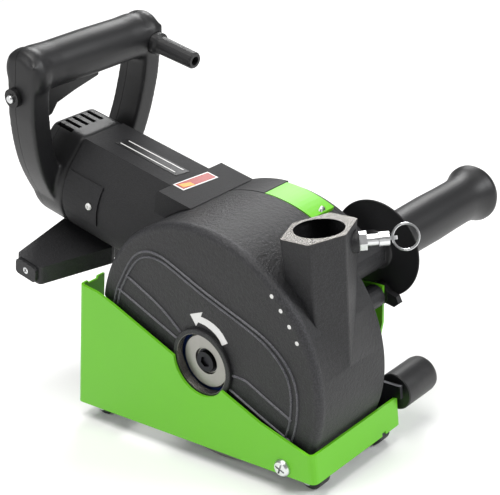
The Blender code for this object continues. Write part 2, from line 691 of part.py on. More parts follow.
def rotor_parts(rotor):
    """Armature with its pinion, commutator and fan on the motor axis."""
    armature = place("armature", rod(5.0, -190, -46.0, "X", (0, 0), 24), rotor, "steel")
    pinion = toothed(10, 6.7, 8.3)
    teeth = plate([pinion], -46.4, -36.0, "YZ")
    for vertex in teeth.vertices:
        if vertex.co.x > -40 * MM:
            vertex.co.y *= 0.6
            vertex.co.z *= 0.6
    combine(armature, [teeth, rod(22.5, -136, -107, "X", (0, 0), 32), rod(16, -138.4, -104.9, "X", (0, 0), 24)], "UNION")
    washer("commutator", 13.5, 5.3, -152, -139, rotor, "copper", "X")
    blades = []
    for i in range(9):
        blade = box((-104.4, 10, -0.9), (-99.8, 30.6, 0.9))
        blade.transform(Matrix.Rotation(2 * pi * i / 9, 4, "X"))
        blades.append(blade)
    fan = washer("fan", 31.2, 5.3, -100.6, -99.4, rotor, "black_plastic", "X")
    hub = turned([(5.3, -99.5), (12, -99.5), (12, -104.6), (5.3, -104.6), (5.3, -99.5)], "X", steps=24)
    combine(fan, [hub] + blades, "UNION")


def bearings(motor):
    washer("spindle_bearing_near", 14.0, 8.3, 15.4, 24.0, motor, "steel")
    washer("spindle_bearing_far", 14.0, 8.3, 46.5, 54.4, motor, "steel")
    axis = (MOTOR_Y, MOTOR_RISE)
    washer("rotor_bearing_front", 14.7, 5.3, -94, -84, motor, "steel", "X", axis)
    washer("rotor_bearing_rear", 11.0, 5.3, -188.5, -180, motor, "steel", "X", axis)


# ---------------------------------------------------------------- motor housing and handle (motor frame)

def motor_outline(radius=MOTOR_RADIUS, top=MOTOR_TOP, flat=MOTOR_FLAT):
    """Round barrel with a flat top, in Y and up."""
    rise = top - MOTOR_RISE
    reach = degrees(atan2(rise, flat)) - degrees(math_acos(radius / hypot(flat, rise)))
    middle = (MOTOR_Y, MOTOR_RISE)
    return arc(middle, radius, 180 - reach, 360 + reach, 40) + [(MOTOR_Y + flat, top), (MOTOR_Y - flat, top)]


def math_acos(value):
    return atan2((1 - value * value) ** 0.5, value)


def motor_parts(motor):
    """Motor housing cut to the drum, stator, brushes and brush covers."""
    axis = (MOTOR_Y, MOTOR_RISE)
    housing = place("motor_housing", plate([motor_outline()], MOTOR_REAR, -50, "YZ"), motor, "black_casting")
    block = bevelled(box((-81, MOTOR_Y - 32, 50), (-40, MOTOR_Y + 32, MOTOR_TOP)), 3.0)
    combine(housing, [block], "UNION")
    combine(housing, [rod(35.0, -170, -40, "X", axis, 48), rod(HOOD_RADIUS + 0.4, -60, 80, "Y", (0, 0), 120)],
            "DIFFERENCE")
    washer("stator_core", 34.6, 23.6, -137, -106, motor, "iron", "X", axis, 40)
    for side, name in ((-1, "near"), (1, "far")):
        start = MOTOR_Y + side * 14.0
        end = MOTOR_Y + side * 34.0
        brush = box((-149, min(start, end), 41), (-142, max(start, end), 49))
        place("carbon_brush_" + name, brush, motor, "iron")
        middle = 180 if side < 0 else 0
        low = middle + side * 31
        high = middle - side * 13
        outline = arc(axis, MOTOR_RADIUS + 1.3, low, high, 8) + arc(axis, MOTOR_RADIUS + GAP, high, low, 8)
        place("brush_cover_" + name, plate([outline], -162, -128, "YZ"), motor, "black_plastic")


def leg_path(side):
    """Middle line of a handle leg, from its top down to the cap."""
    path = [(54.5, 150), (54.5, 112), (52.5, 98), (49.5, 82), (44, 64), (35, 46), (25, 30)]
    return [(MOTOR_Y + side * u, v) for u, v in path]


def ribbon(path, half):
    """Outline of a strip about a path, with a round top end."""
    left = []
    right = []
    for i, point in enumerate(path):
        before = Vector(path[max(i - 1, 0)])
        after = Vector(path[min(i + 1, len(path) - 1)])
        along = (after - before).normalized()
        side = Vector((-along.y, along.x)) * half
        left.append(tuple(Vector(point) + side))
        right.append(tuple(Vector(point) - side))
    start = degrees(atan2(right[0][1] - path[0][1], right[0][0] - path[0][0]))
    top = arc(path[0], half, start, start + 180, 8)
    return top[1:-1] + left + right[::-1]


def handle_body(motor, name, keep_front):
    """One of the two handle shells: cap, legs and grip with a hollow for switch and wires."""
    axis = (MOTOR_Y, MOTOR_RISE)
    cap = bevelled(plate([motor_outline()], CAP_REAR, MOTOR_REAR - GAP, "YZ"), 5.0, 2, 60)
    shell = place(name, cap, motor, "black_plastic")
    legs = [bevelled(plate([ribbon(leg_path(side), LEG_HALF)], CAP_REAR, HANDLE_FRONT, "YZ"), 4.5, 2, 60)
            for side in (-1, 1)]
    reach = LEG_OFFSET + 2
    combine(shell, legs + [rod(GRIP_RADIUS, MOTOR_Y - reach, MOTOR_Y + reach, "Y", (GRIP_M, GRIP_N), 32)], "UNION")
    hollows = [plate([ribbon(leg_path(side), 4.6)], CAP_REAR + 4, HANDLE_FRONT - 4, "YZ") for side in (-1, 1)]
    hollows += [rod(12.6, MOTOR_Y - reach + 4, MOTOR_Y + reach - 4, "Y", (GRIP_M, GRIP_N), 28),
                rod(35.0, CAP_REAR + 3.5, -150, "X", axis, 48),
                box((-193.2, -25.5, 115), (-179.8, 30.5, 130)),
                rod(3.3, -50, -37, "Y", (HANDLE_SPLIT, 120), 16),
                rod(8.8, HANDLE_FRONT - 0.2, -150, "X", (MOTOR_Y + LEG_OFFSET, 137), 32)]
    for i in range(6):
        y = MOTOR_Y - 19 + 7.2 * i
        hollows.append(box((-193.6, y, 70), (-181, y + 3.4, 90)))
    combine(shell, hollows, "DIFFERENCE")
    side = (HANDLE_SPLIT - 40, HANDLE_SPLIT) if keep_front else (HANDLE_SPLIT - GAP, HANDLE_SPLIT + 40)
    combine(shell, [box((side[0], -80, -20), (side[1], 120, 200))], "DIFFERENCE")
    return shell


def handle_parts(motor):
    handle_body(motor, "handle_front", True)
    handle_body(motor, "handle_back", False)
    outline = [(28, 125), (28, 119.6), (2, 113.5), (-11, 109.5), (-15.5, 102.5), (-21, 101), (-24.6, 104), (-24.6, 125)]
    place("trigger", bevelled(plate([outline], -192.4, -180.6, "YZ"), 1.2, 1, 60), motor, "black_plastic",
          (-186.5, 26, 122))
    place("switch", box((-192, -20, 132.5), (-181, 26, 146.5)), motor, "black_plastic")
    pin = [(0, -36.5), (3.0, -36.5), (3.0, -48.6), (2.2, -49.6), (0, -49.6)]
    place("lock_button", turned(pin, "Y", (HANDLE_SPLIT, 120), 20), motor, "zinc", (HANDLE_SPLIT, -44, 120))
    washer("lock_collar", 6.8, 3.4, -47.2, -43.8, motor, "black_plastic", "Y", (HANDLE_SPLIT, 120), 24)
    boot = [(3.4, -131), (5.4, -131), (6.2, -132.2), (6.6, -164), (8.4, -166), (8.4, -171.2), (0, -171.2),
            (0, -152), (3.4, -152), (3.4, -131)]
    place("cable_boot", turned(boot, "X", (MOTOR_Y + LEG_OFFSET, 137), 24), motor, "black_rubber")


def support_foot(motor):
    """Tapered arm under the motor that meets the work surface at full depth."""
    outline = [(-182, 4), (-128, 4), (-149, -53), (-174, -53)]
    arm = plate([rounded(outline, 3.5, 3)], -4.5, 10.0, "XY")
    for vertex in arm.vertices:
        vertex.co.z += min(0.0, vertex.co.y) * 0.115
    foot = place("support_foot", arm, motor, "black_casting")
    combine(foot, [box((-176, -6, -4.5), (-134, 38, 5.5))], "UNION")
    combine(foot, [rod(MOTOR_RADIUS + GAP, -200, -100, "X", (MOTOR_Y, MOTOR_RISE), 64)], "DIFFERENCE")
    tip = rounded([(-172, -9.5), (-151, -9.5), (-151, 2.5), (-172, 2.5)], 3.0, 3)
    combine(foot, [plate([tip], -55.6, -52.0, "XZ")], "UNION")


# ---------------------------------------------------------------- port plunger and auxiliary handle

def plunger_parts(plunge):
    """Spring plunger that latches a hose nozzle in the dust port."""
    x = 1.0 - PIVOT[0]
    holder = bpy.data.objects.new("plunger_axis", None)
    PARTS.objects.link(holder)
    holder.parent = plunge
    holder.location = Vector((x, 12.5, 147.0 - PIVOT[1])) * MM
    holder.rotation_euler = (0.0, 0.0, radians(42))
    body = place("plunger_body", rod(6.2, 1.8, 6.4, "X", (0, 0), 6), holder, "zinc")
    combine(body, [rod(3.7, -4, 13.6, "X", (0, 0), 20)], "UNION")
    combine(body, [rod(2.1, -10, 20, "X", (0, 0), 16)], "DIFFERENCE")
    pin = place("plunger_pin", rod(1.7, -11, 16, "X", (0, 0), 16), holder, "zinc")
    eye = rod(3.1, -1.2, 1.2, "Y", (0, 0), 20)
    hole = rod(1.6, -4, 4, "Y", (0, 0), 14)
    tilt = Matrix.Translation(Vector((EYE, 0, 0)) * MM) @ Matrix.Rotation(radians(69), 4, "X")
    eye.transform(tilt)
    hole.transform(tilt)
    combine(pin, [rod(4.6, 13.9, 20.6, "X", (0, 0), 20), eye], "UNION")
    combine(pin, [hole], "DIFFERENCE")
    bm = bmesh.new()
    steps = 24
    sides = 6
    grid = []
    for i in range(steps):
        a = 2 * pi * i / steps
        row = []
        for k in range(sides):
            b = 2 * pi * k / sides
            r = RING_SIZE + RING_WIRE * cos(b)
            row.append(bm.verts.new(Vector((r * cos(a) + RING_SIZE, r * sin(a), RING_WIRE * sin(b))) * MM))
        grid.append(row)
    for i in range(steps):
        for k in range(sides):
            j = (i + 1) % steps
            m = (k + 1) % sides
            bm.faces.new((grid[i][k], grid[j][k], grid[j][m], grid[i][m]))
    mesh = finish_mesh(bm)
    mesh.transform(tilt)
    place("plunger_ring", mesh, holder, "zinc", (EYE, 0, 0))


EYE = 22.6                      # plunger ring's eye, along the plunger
RING_SIZE = 8.3
RING_WIRE = 0.8


def auxiliary_handle(plunge):
    x = AUX_AXIS[0] - PIVOT[0]
    z = AUX_AXIS[1] - PIVOT[1]
    disc = [(0, 71.0), (30, 71.0), (34, 70.0), (35, 68.9), (34, 68.4), (13, 67.2), (12, 62.4), (4.9, 62.4),
            (4.9, 42), (0, 42)]
    place("hand_guard", turned(disc, "Y", (x, z), 40), plunge, "black_plastic")
    grip = [(0, 195), (12, 194.2), (18, 191.5), (21, 187.5), (20.5, 184), (17.6, 178), (16.4, 168), (17.0, 130),
            (16.2, 90), (17.5, 75), (17.5, 71.3), (0, 71.3)]
    place("auxiliary_grip", turned(grip, "Y", (x, z), 36), plunge, "black_rubber")


def build():
    base = frame("base", SHIFT)
    guard_shell(base)
    sole_plate(base)
    rollers(base)
    pivot_parts(base)
    front_grip_parts(base)
    depth_bracket(base)
    plunge = frame("plunge_axis", (PIVOT[0], 0, PIVOT[1]), base)
    spindle_place = (SPINDLE[0] - PIVOT[0], 0, SPINDLE[1] - PIVOT[1])
    hood = frame("hood_frame", spindle_place, plunge, HOOD_PITCH)
    motor = frame("motor_frame", spindle_place, plunge, MOTOR_PITCH)
    hood_shell(hood)
    gear_case(motor)
    depth_lock(motor)
    motor_parts(motor)
    handle_parts(motor)
    support_foot(motor)
    bearings(motor)
    spindle_parts(motor)
    lay_parts(frame("lay_axis", (LAY_SHAFT[0], 0, LAY_SHAFT[1]), motor))
    rotor_parts(frame("rotor_axis", (0, MOTOR_Y, MOTOR_RISE), motor))
    plunger_parts(plunge)
    auxiliary_handle(plunge)


clear_scene()
PARTS = collection("wall_chaser")
CUTTERS = collection("cutters")
MATERIALS = make_finishes()
build()
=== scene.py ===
"""Wall chaser: the visual model, built over its CAD frame.

Shapes are drawn in millimetres in one of three frames.  BASE is upright, from
the foot of the guard's front wall.  MOTOR and HOOD both start at the blade
spindle, with their first axis along the motor and along the hood's flat edge.
"""

import json
from math import atan2, cos, degrees, hypot, pi, radians, sin

import bmesh
import bpy
from bpy.props import BoolProperty, FloatProperty, FloatVectorProperty, IntProperty, PointerProperty
from mathutils import Matrix, Vector


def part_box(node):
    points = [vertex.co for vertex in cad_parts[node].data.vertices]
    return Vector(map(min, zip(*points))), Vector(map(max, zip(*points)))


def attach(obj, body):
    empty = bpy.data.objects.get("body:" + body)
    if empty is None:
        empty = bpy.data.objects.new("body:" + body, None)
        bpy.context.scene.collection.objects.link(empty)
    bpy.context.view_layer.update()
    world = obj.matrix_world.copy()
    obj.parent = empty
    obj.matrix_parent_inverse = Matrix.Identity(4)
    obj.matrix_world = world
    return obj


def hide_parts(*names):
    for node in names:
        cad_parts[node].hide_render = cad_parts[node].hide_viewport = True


bl_info = {
    "name": "Wall Chaser",
    "version": (1, 0, 0),
    "blender": (4, 5, 0),
    "location": "3D View > Sidebar > Wall Chaser",
    "description": "Builds a wall chaser piece by piece over its CAD frame",
    "category": "Add Mesh",
}

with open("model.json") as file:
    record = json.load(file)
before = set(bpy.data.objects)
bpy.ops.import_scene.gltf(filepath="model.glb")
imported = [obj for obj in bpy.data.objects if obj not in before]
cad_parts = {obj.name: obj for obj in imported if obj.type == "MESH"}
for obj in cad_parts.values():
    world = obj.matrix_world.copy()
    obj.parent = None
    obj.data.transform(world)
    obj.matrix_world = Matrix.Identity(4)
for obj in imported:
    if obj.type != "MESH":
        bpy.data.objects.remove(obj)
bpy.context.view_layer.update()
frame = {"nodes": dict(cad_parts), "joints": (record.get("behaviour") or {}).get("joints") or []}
NODES = frame["nodes"]
JOINTS = {entry["name"]: entry for entry in frame["joints"]}
MM = 0.001
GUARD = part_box("guard_shell")
SPINDLE = Vector(JOINTS["blade_spin"]["pos_m"])
HOOD_OVER_MOTOR = radians(10.87)

# Sizes in millimetres
PORT_AT = (-12.7, -6.3, 160.0)    # middle of the port's rim, in BASE
PORT_BORE = 16.5                  # radius of the bore at the rim
NEAR_FACE = -42.1                 # the hood's near wall
FAR_FACE = 27.5                   # the hood's far edge
FOOT = -14.0                      # the hood's flat edge, over the spindle
DRUM = 97.6                       # the hood's radius
RING_RADIUS = 21.6                # the opening round the outer flange
MOTOR_AXIS = (19.0, 45.0)         # the barrel's axis, Y and height over the spindle
MOTOR_TOP = 84.6                  # the barrel's flat top
HANDLE_SEAM = -189.4              # where the handle's shells meet, along the motor
HANDLE_GAP = 0.15                 # half the gap at that seam
SEGMENT_FROM = 68.8               # radius where a blade's cutting segments start
BLADE_HUB = 16.2                  # radius of a blade's bare middle
FACING_PITCH = 21000.0            # turns of the lathe marks per metre, in radians


def frame_along(direction, origin):
    """Millimetre frame whose X runs along a direction and whose Y is the machine's left."""
    x = Vector(direction).normalized()
    y = Vector((0.0, 1.0, 0.0))
    z = x.cross(y)
    turn = Matrix((x, y, z)).transposed().to_4x4()
    return Matrix.Translation(origin) @ turn @ Matrix.Scale(MM, 4)


MOTOR_WAY = Vector(JOINTS["rotor_spin"]["axis"])
BASE = Matrix.Translation((GUARD[1][0], (GUARD[0][1] + GUARD[1][1]) / 2, GUARD[0][2])) @ Matrix.Scale(MM, 4)
MOTOR = frame_along(MOTOR_WAY, SPINDLE)
HOOD = frame_along(Matrix.Rotation(HOOD_OVER_MOTOR, 3, "Y") @ MOTOR_WAY, SPINDLE)


def inside(matrix, point):
    """A place in metres, given in a frame's own millimetres."""
    return matrix.inverted() @ Vector(point)


# ---------------------------------------------------------------- settings

class WallChaserSettings(bpy.types.PropertyGroup):
    """Sizes and colours of the wall chaser."""
    coat: FloatVectorProperty(name="Guard coat", description="Powder coat of the guard and top strip",
                              subtype="COLOR", size=3, min=0, max=1, default=(0.135, 0.500, 0.012))
    casting: FloatVectorProperty(name="Casting paint", description="Paint of the hood and motor housing",
                                 subtype="COLOR", size=3, min=0, max=1, default=(0.0085, 0.0085, 0.0095))
    plastic: FloatVectorProperty(name="Handle plastic", description="Moulded plastic of the handles",
                                 subtype="COLOR", size=3, min=0, max=1, default=(0.010, 0.010, 0.011))
    mark: FloatVectorProperty(name="Marking paint", description="Paint of the arrow and depth dots",
                              subtype="COLOR", size=3, min=0, max=1, default=(0.72, 0.72, 0.71))
    blade: FloatVectorProperty(name="Blade paint", description="Paint of the blade bodies",
                               subtype="COLOR", size=3, min=0, max=1, default=(0.010, 0.026, 0.135))
    floor: FloatVectorProperty(name="Floor", description="Colour of the studio floor",
                               subtype="COLOR", size=3, min=0, max=1, default=(0.93, 0.93, 0.93))
    ridge: FloatProperty(name="Ridge height", description="How far the hood's cast ridges stand out",
                         subtype="DISTANCE", unit="LENGTH", min=0.0002, max=0.0016, default=0.0011)
    blend: FloatProperty(name="Handle grain", description="Edge length of the handle's mesh",
                         subtype="DISTANCE", unit="LENGTH", min=0.0008, max=0.003, default=0.0012)
    light: FloatProperty(name="Light", description="Strength of the studio lights",
                         subtype="FACTOR", min=0.1, max=4.0, default=1.0)
    steps: IntProperty(name="Drum steps", description="Facets round the hood", min=48, max=360, default=180)
    screws: BoolProperty(name="Screws", description="Add the small screws", default=True)


# ---------------------------------------------------------------- shapes

def mesh_object(name, bm, matrix, smooth=35.0):
    bm.transform(matrix)
    bmesh.ops.remove_doubles(bm, verts=bm.verts, dist=1e-7)
    bmesh.ops.recalc_face_normals(bm, faces=bm.faces)
    mesh = bpy.data.meshes.new(name)
    bm.to_mesh(mesh)
    bm.free()
    mesh.shade_smooth()
    mesh.set_sharp_from_angle(angle=radians(smooth))
    made = bpy.data.objects.new(name, mesh)
    bpy.context.scene.collection.objects.link(made)
    return made


AXES = {"X": Matrix.Rotation(pi / 2, 4, "Y"), "Y": Matrix.Rotation(-pi / 2, 4, "X"), "Z": Matrix.Identity(4)}
PLANES = {"XZ": Matrix.Rotation(pi / 2, 4, "X"), "XY": Matrix.Identity(4),
          "YZ": Matrix(((0, 0, 1, 0), (1, 0, 0, 0), (0, 1, 0, 0), (0, 0, 0, 1)))}


def lathe(profile, axis="Y", at=(0.0, 0.0, 0.0), steps=64):
    """A turned shape; profile is (radius, place) pairs, open onto the axis or a closed loop."""
    bm = bmesh.new()
    closed = profile[0] == profile[-1]
    points = profile[:-1] if closed else profile
    rings = []
    for radius, height in points:
        if radius < 1e-6:
            rings.append([bm.verts.new((0, 0, height))] * steps)
            continue
        rings.append([bm.verts.new((radius * cos(2 * pi * i / steps), radius * sin(2 * pi * i / steps), height))
                      for i in range(steps)])
    pairs = list(zip(rings, rings[1:]))
    if closed:
        pairs.append((rings[-1], rings[0]))
    for low, high in pairs:
        for i in range(steps):
            j = (i + 1) % steps
            corners = []
            for vertex in (low[i], low[j], high[j], high[i]):
                if vertex not in corners:
                    corners.append(vertex)
            if len(corners) > 2:
                bm.faces.new(corners)
    bm.transform(Matrix.Translation(at) @ AXES[axis])
    bmesh.ops.recalc_face_normals(bm, faces=bm.faces)
    return bm


def slab(outline, start, end, plane="XZ"):
    """A flat outline given thickness along its plane's normal."""
    bm = bmesh.new()
    low = [bm.verts.new((u, v, 0)) for u, v in outline]
    high = [bm.verts.new((u, v, 1)) for u, v in outline]
    bm.faces.new(low)
    bm.faces.new(high)
    for i in range(len(outline)):
        j = (i + 1) % len(outline)
        bm.faces.new((low[i], low[j], high[j], high[i]))
    if plane == "XZ":
        start, end = -start, -end
    bm.transform(PLANES[plane] @ Matrix.Translation((0, 0, start)) @ Matrix.Diagonal((1, 1, end - start, 1)))
    bmesh.ops.recalc_face_normals(bm, faces=bm.faces)
    return bm


def block(low, high):
    outline = [(low[0], low[1]), (high[0], low[1]), (high[0], high[1]), (low[0], high[1])]
    return slab(outline, low[2], high[2], "XY")


def arc(middle, radius, start, end, count):
    return [(middle[0] + radius * cos(radians(start + (end - start) * i / count)),
             middle[1] + radius * sin(radians(start + (end - start) * i / count))) for i in range(count + 1)]


def smooth_line(points, times=2):
    """Corner-cut version of an open polyline."""
    for _ in range(times):
        cut = [points[0]]
        for a, b in zip(points, points[1:]):
            cut.append(tuple(p * 0.75 + q * 0.25 for p, q in zip(a, b)))
            cut.append(tuple(p * 0.25 + q * 0.75 for p, q in zip(a, b)))
        points = cut + [points[-1]]
    return points


def rod_along(points, radius, name, matrix, sides=10, flat=1.0):
    """A round bar through points; flat squeezes it along Y."""
    bm = bmesh.new()
    rings = []
    for i, point in enumerate(points):
        here = Vector(point)
        way = (Vector(points[min(i + 1, len(points) - 1)]) - Vector(points[max(i - 1, 0)])).normalized()
        side = way.cross(Vector((0, 1, 0))).normalized()
        up = side.cross(way).normalized()
        rings.append([bm.verts.new(here + side * radius * cos(2 * pi * k / sides)
                                   + up * radius * flat * sin(2 * pi * k / sides)) for k in range(sides)])
    for low, high in zip(rings, rings[1:]):
        for k in range(sides):
            m = (k + 1) % sides
            bm.faces.new((low[k], low[m], high[m], high[k]))
    bm.faces.new(rings[0])
    bm.faces.new(rings[-1])
    return mesh_object(name, bm, matrix)


def applied(made):
    """Turns an object's modifiers into its mesh."""
    graph = bpy.context.evaluated_depsgraph_get()
    graph.update()
    mesh = bpy.data.meshes.new_from_object(made.evaluated_get(graph))
    old = made.data
    made.modifiers.clear()
    made.data = mesh
    bpy.data.meshes.remove(old)
    return made


def carve(made, shapes, matrix, operation="DIFFERENCE"):
    """Cuts shapes from an object, or joins them to it, one after another."""
    helpers = []
    for bm in shapes:
        helper = mesh_object("helper", bm, matrix)
        helpers.append(helper)
        modifier = made.modifiers.new("carve", "BOOLEAN")
        modifier.operation = operation
        modifier.solver = "EXACT"
        modifier.object = helper
    applied(made)
    for helper in helpers:
        bpy.data.objects.remove(helper, do_unlink=True)
    return made


def soften(made, width=0.5, segments=2, angle=32.0):
    """Rounds an object's sharper edges."""
    bevel = made.modifiers.new("edges", "BEVEL")
    bevel.width = width * MM
    bevel.segments = segments
    bevel.limit_method = "ANGLE"
    bevel.angle_limit = radians(angle)
    bevel.harden_normals = False
    bevel.miter_outer = "MITER_ARC"
    even = made.modifiers.new("even", "WEIGHTED_NORMAL")
    even.keep_sharp = True
    even.weight = 80
    return made


def finish(made, material, body, nodes=()):
    """Gives an object its material, the body that it rides on and the nodes that it stands for."""
    made.data.materials.clear()
    made.data.materials.append(material)
    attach(made, body)
    if nodes:
        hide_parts(*nodes)
    return made


def carry(names, material, width=0.35):
    """Shows CAD nodes themselves, with softened edges and a material."""
    for name in names:
        node = NODES[name]
        node.data.materials.clear()
        node.data.materials.append(material)
        node.data.shade_smooth()
        node.data.set_sharp_from_angle(angle=radians(32))
        if width:
            soften(node, width)


# ---------------------------------------------------------------- materials

class Value:
    """A shader socket; arithmetic on it adds the Math nodes."""

    def __init__(self, paint, socket):
        self.paint = paint
        self.socket = socket

    def math(self, operation, *values):
        made = self.paint.node("ShaderNodeMath", {"operation": operation}, dict(enumerate(values)))
        return Value(self.paint, made.outputs[0])

    def __add__(self, other):
        return self.math("ADD", self, other)

    def __radd__(self, other):
        return self.math("ADD", other, self)

    def __sub__(self, other):
        return self.math("SUBTRACT", self, other)

    def __rsub__(self, other):
        return self.math("SUBTRACT", other, self)

    def __mul__(self, other):
        return self.math("MULTIPLY", self, other)

    def __rmul__(self, other):
        return self.math("MULTIPLY", other, self)

    def __gt__(self, other):
        return self.math("GREATER_THAN", self, other)

    def __lt__(self, other):
        return self.math("LESS_THAN", self, other)

    def clamped(self):
        return self.math("MINIMUM", self.math("MAXIMUM", self, 0.0), 1.0)


class Paint:
    """One material and the nodes that vary it over a surface."""

    def __init__(self, name, roughness=0.5, metallic=0.0, specular=0.5):
        self.material = bpy.data.materials.new(name)
        self.material.use_nodes = True
        self.tree = self.material.node_tree
        self.shader = self.tree.nodes["Principled BSDF"]
        self.shader.inputs["Roughness"].default_value = roughness
        self.shader.inputs["Metallic"].default_value = metallic
        self.shader.inputs["Specular IOR Level"].default_value = specular
        self.place = self.node("ShaderNodeTexCoord").outputs["Object"]

    def node(self, kind, settings=None, inputs=None):
        made = self.tree.nodes.new(kind)
        for key, value in (settings or {}).items():
            setattr(made, key, value)
        for key, value in (inputs or {}).items():
            self.feed(made.inputs[key], value)
        return made

    def feed(self, socket, value):
        if isinstance(value, Value):
            value = value.socket
        if isinstance(value, bpy.types.NodeSocket):
            self.tree.links.new(value, socket)
        elif hasattr(value, "__len__") and len(value) == 3 and socket.type == "RGBA":
            socket.default_value = (*value, 1.0)
        else:
            socket.default_value = value

    def noise(self, scale, detail=3.0, rough=0.55, stretch=None):
        where = self.place
        if stretch:
            where = self.node("ShaderNodeVectorMath", {"operation": "MULTIPLY"},
                              {0: self.place, 1: stretch}).outputs[0]
        made = self.node("ShaderNodeTexNoise", None,
                         {"Vector": where, "Scale": scale, "Detail": detail, "Roughness": rough})
        return Value(self, made.outputs["Fac"])

    def ramp(self, value, low, high):
        made = self.node("ShaderNodeMapRange", None,
                         {"Value": value, "From Min": low, "From Max": high, "To Min": 0.0, "To Max": 1.0})
        return Value(self, made.outputs["Result"])

    def blend(self, factor, first, second):
        made = self.node("ShaderNodeMix", {"data_type": "RGBA"}, {0: factor, 6: first, 7: second})
        return made.outputs[2]

    def away(self, point, plane=(1.0, 0.0, 1.0)):
        """Distance in metres from an axis through a point; plane holds 0 along the axis."""
        offset = self.node("ShaderNodeVectorMath", {"operation": "SUBTRACT"}, {0: self.place, 1: tuple(point)})
        flat = self.node("ShaderNodeVectorMath", {"operation": "MULTIPLY"}, {0: offset.outputs[0], 1: plane})
        length = self.node("ShaderNodeVectorMath", {"operation": "LENGTH"}, {0: flat.outputs[0]})
        return Value(self, length.outputs["Value"])

    def part(self, axis):
        split = self.node("ShaderNodeSeparateXYZ", None, {0: self.place})
        return Value(self, split.outputs["XYZ".index(axis)])

    def set(self, **values):
        for key, value in values.items():
            self.feed(self.shader.inputs[key.replace("_", " ")], value)

    def bump(self, height, strength, distance=0.0003):
        made = self.node("ShaderNodeBump", None, {"Strength": strength, "Distance": distance, "Height": height})
        self.feed(self.shader.inputs["Normal"], made.outputs["Normal"])


def scaled(colour, by):
    return tuple(min(1.0, c * by) for c in colour)


def powder_coat(name, colour):
    """Bright semi-gloss powder coat with a fine orange peel."""
    paint = Paint(name, specular=0.42)
    cloud = paint.noise(9, 4)
    peel = paint.noise(950, 2, 0.5)
    grime = paint.ramp(paint.noise(38, 6, 0.7), 0.66, 0.86)
    base = paint.blend(cloud, scaled(colour, 0.93), scaled(colour, 1.07))
    paint.set(Base_Color=paint.blend(grime * 0.14, base, (0.10, 0.16, 0.05)))
    paint.set(Roughness=0.36 + cloud * 0.10 + grime * 0.12)
    paint.bump(peel, 0.20, 0.00012)
    return paint.material


def cast_paint(name, colour, grain=1500.0, depth=0.5, bare=None, shine=0.40, wear_and_highlight=None):
    """Textured paint over a casting; bare masks off machined places, and the last mask adds lighter specks, partly
    rubbed paint and partly a painted highlight.
    """
    paint = Paint(name, specular=0.40)
    grit = paint.noise(grain, 3, 0.6)
    coarse = paint.noise(grain * 0.32, 2, 0.5)
    cloud = paint.noise(14, 4)
    flecks = paint.ramp(paint.noise(grain * 0.55, 1, 0.4), 0.70, 0.76)
    rub = paint.ramp(paint.noise(60, 5, 0.7), 0.62, 0.8)
    base = paint.blend(cloud, scaled(colour, 0.78), scaled(colour, 1.25))
    base = paint.blend(paint.ramp(grit, 0.46, 0.64) * 0.6, base, scaled(colour, 3.6))
    base = paint.blend(flecks * 0.35 + rub * 0.10, base, scaled(colour, 5.0))
    rough = shine + grit * 0.20 - rub * 0.06
    if wear_and_highlight:
        # Lighter specks under the last mask: partly rubbed paint, partly a painted highlight.
        rim_specks_and_highlight = wear_and_highlight(paint) * (paint.ramp(grit, 0.44, 0.62) * 0.7 + 0.3)
        base = paint.blend(rim_specks_and_highlight * 0.34, base, scaled(colour, 9.0))
    metal = None
    if bare:
        mask = bare(paint)
        turned = paint.noise(700, 4, 0.6, (1, 1, 6))
        base = paint.blend(mask, base, paint.blend(turned, (0.16, 0.15, 0.14), (0.34, 0.33, 0.31)))
        rough = rough - mask * 0.22
        metal = mask * 0.92
    paint.set(Base_Color=base, Roughness=rough)
    if metal is not None:
        paint.set(Metallic=metal)
    paint.bump(grit * 0.7 + coarse * 0.7, depth, 0.0006)
    return paint.material


def moulded(name, colour, grain=1500.0, rough=0.36, depth=0.4):
    """Matte moulded plastic with a spark-eroded grain and faint scuffs."""
    paint = Paint(name, specular=0.42)
    grit = paint.noise(grain, 2, 0.5)
    scuff = paint.ramp(paint.noise(240, 5, 0.75, (1, 0.15, 1)), 0.66, 0.80)
    cloud = paint.noise(20, 3)
    base = paint.blend(cloud, scaled(colour, 0.8), scaled(colour, 1.2))
    paint.set(Base_Color=paint.blend(scuff * 0.18, base, scaled(colour, 3.2)))
    paint.set(Roughness=rough + grit * 0.14 - scuff * 0.07)
    paint.bump(grit, depth, 0.00018)
    return paint.material


def rubber(name, colour):
    paint = Paint(name, specular=0.5)
    grit = paint.noise(1900, 3, 0.6)
    dust = paint.ramp(paint.noise(45, 6, 0.7), 0.50, 0.85)
    paint.set(Base_Color=paint.blend(dust * 0.3, scaled(colour, 0.9), (0.06, 0.058, 0.055)))
    paint.set(Roughness=0.38 + grit * 0.2)
    paint.bump(grit, 0.3, 0.0002)
    return paint.material


def bare_metal(name, colour, rough=0.3, stretch=(1, 1, 1), grain=900.0, tint=0.8, depth=0.12):
    """Bare or plated metal; stretch draws its grain out along the finishing direction."""
    paint = Paint(name, metallic=1.0)
    lay = paint.noise(grain, 5, 0.65, stretch)
    stain = paint.noise(55, 5, 0.6)
    base = paint.blend(lay, scaled(colour, tint), colour)
    paint.set(Base_Color=paint.blend(paint.ramp(stain, 0.55, 0.85) * 0.35, base, scaled(colour, 0.6)))
    paint.set(Roughness=rough + lay * 0.16 + stain * 0.06)
    paint.bump(lay, depth, 0.0001)
    return paint.material


def turned_steel(name, colour, centre, rough=0.24):
    """Steel faced in a lathe, with fine rings round the spindle."""
    paint = Paint(name, metallic=1.0)
    reach = paint.away(centre)
    rings = reach.math("SINE", reach * FACING_PITCH) * 0.5 + 0.5
    wobble = paint.noise(240, 3)
    base = paint.blend(wobble, scaled(colour, 0.82), colour)
    paint.set(Base_Color=base, Roughness=rough + rings * 0.05 + wobble * 0.12)
    paint.bump(rings, 0.06, 0.00006)
    return paint.material


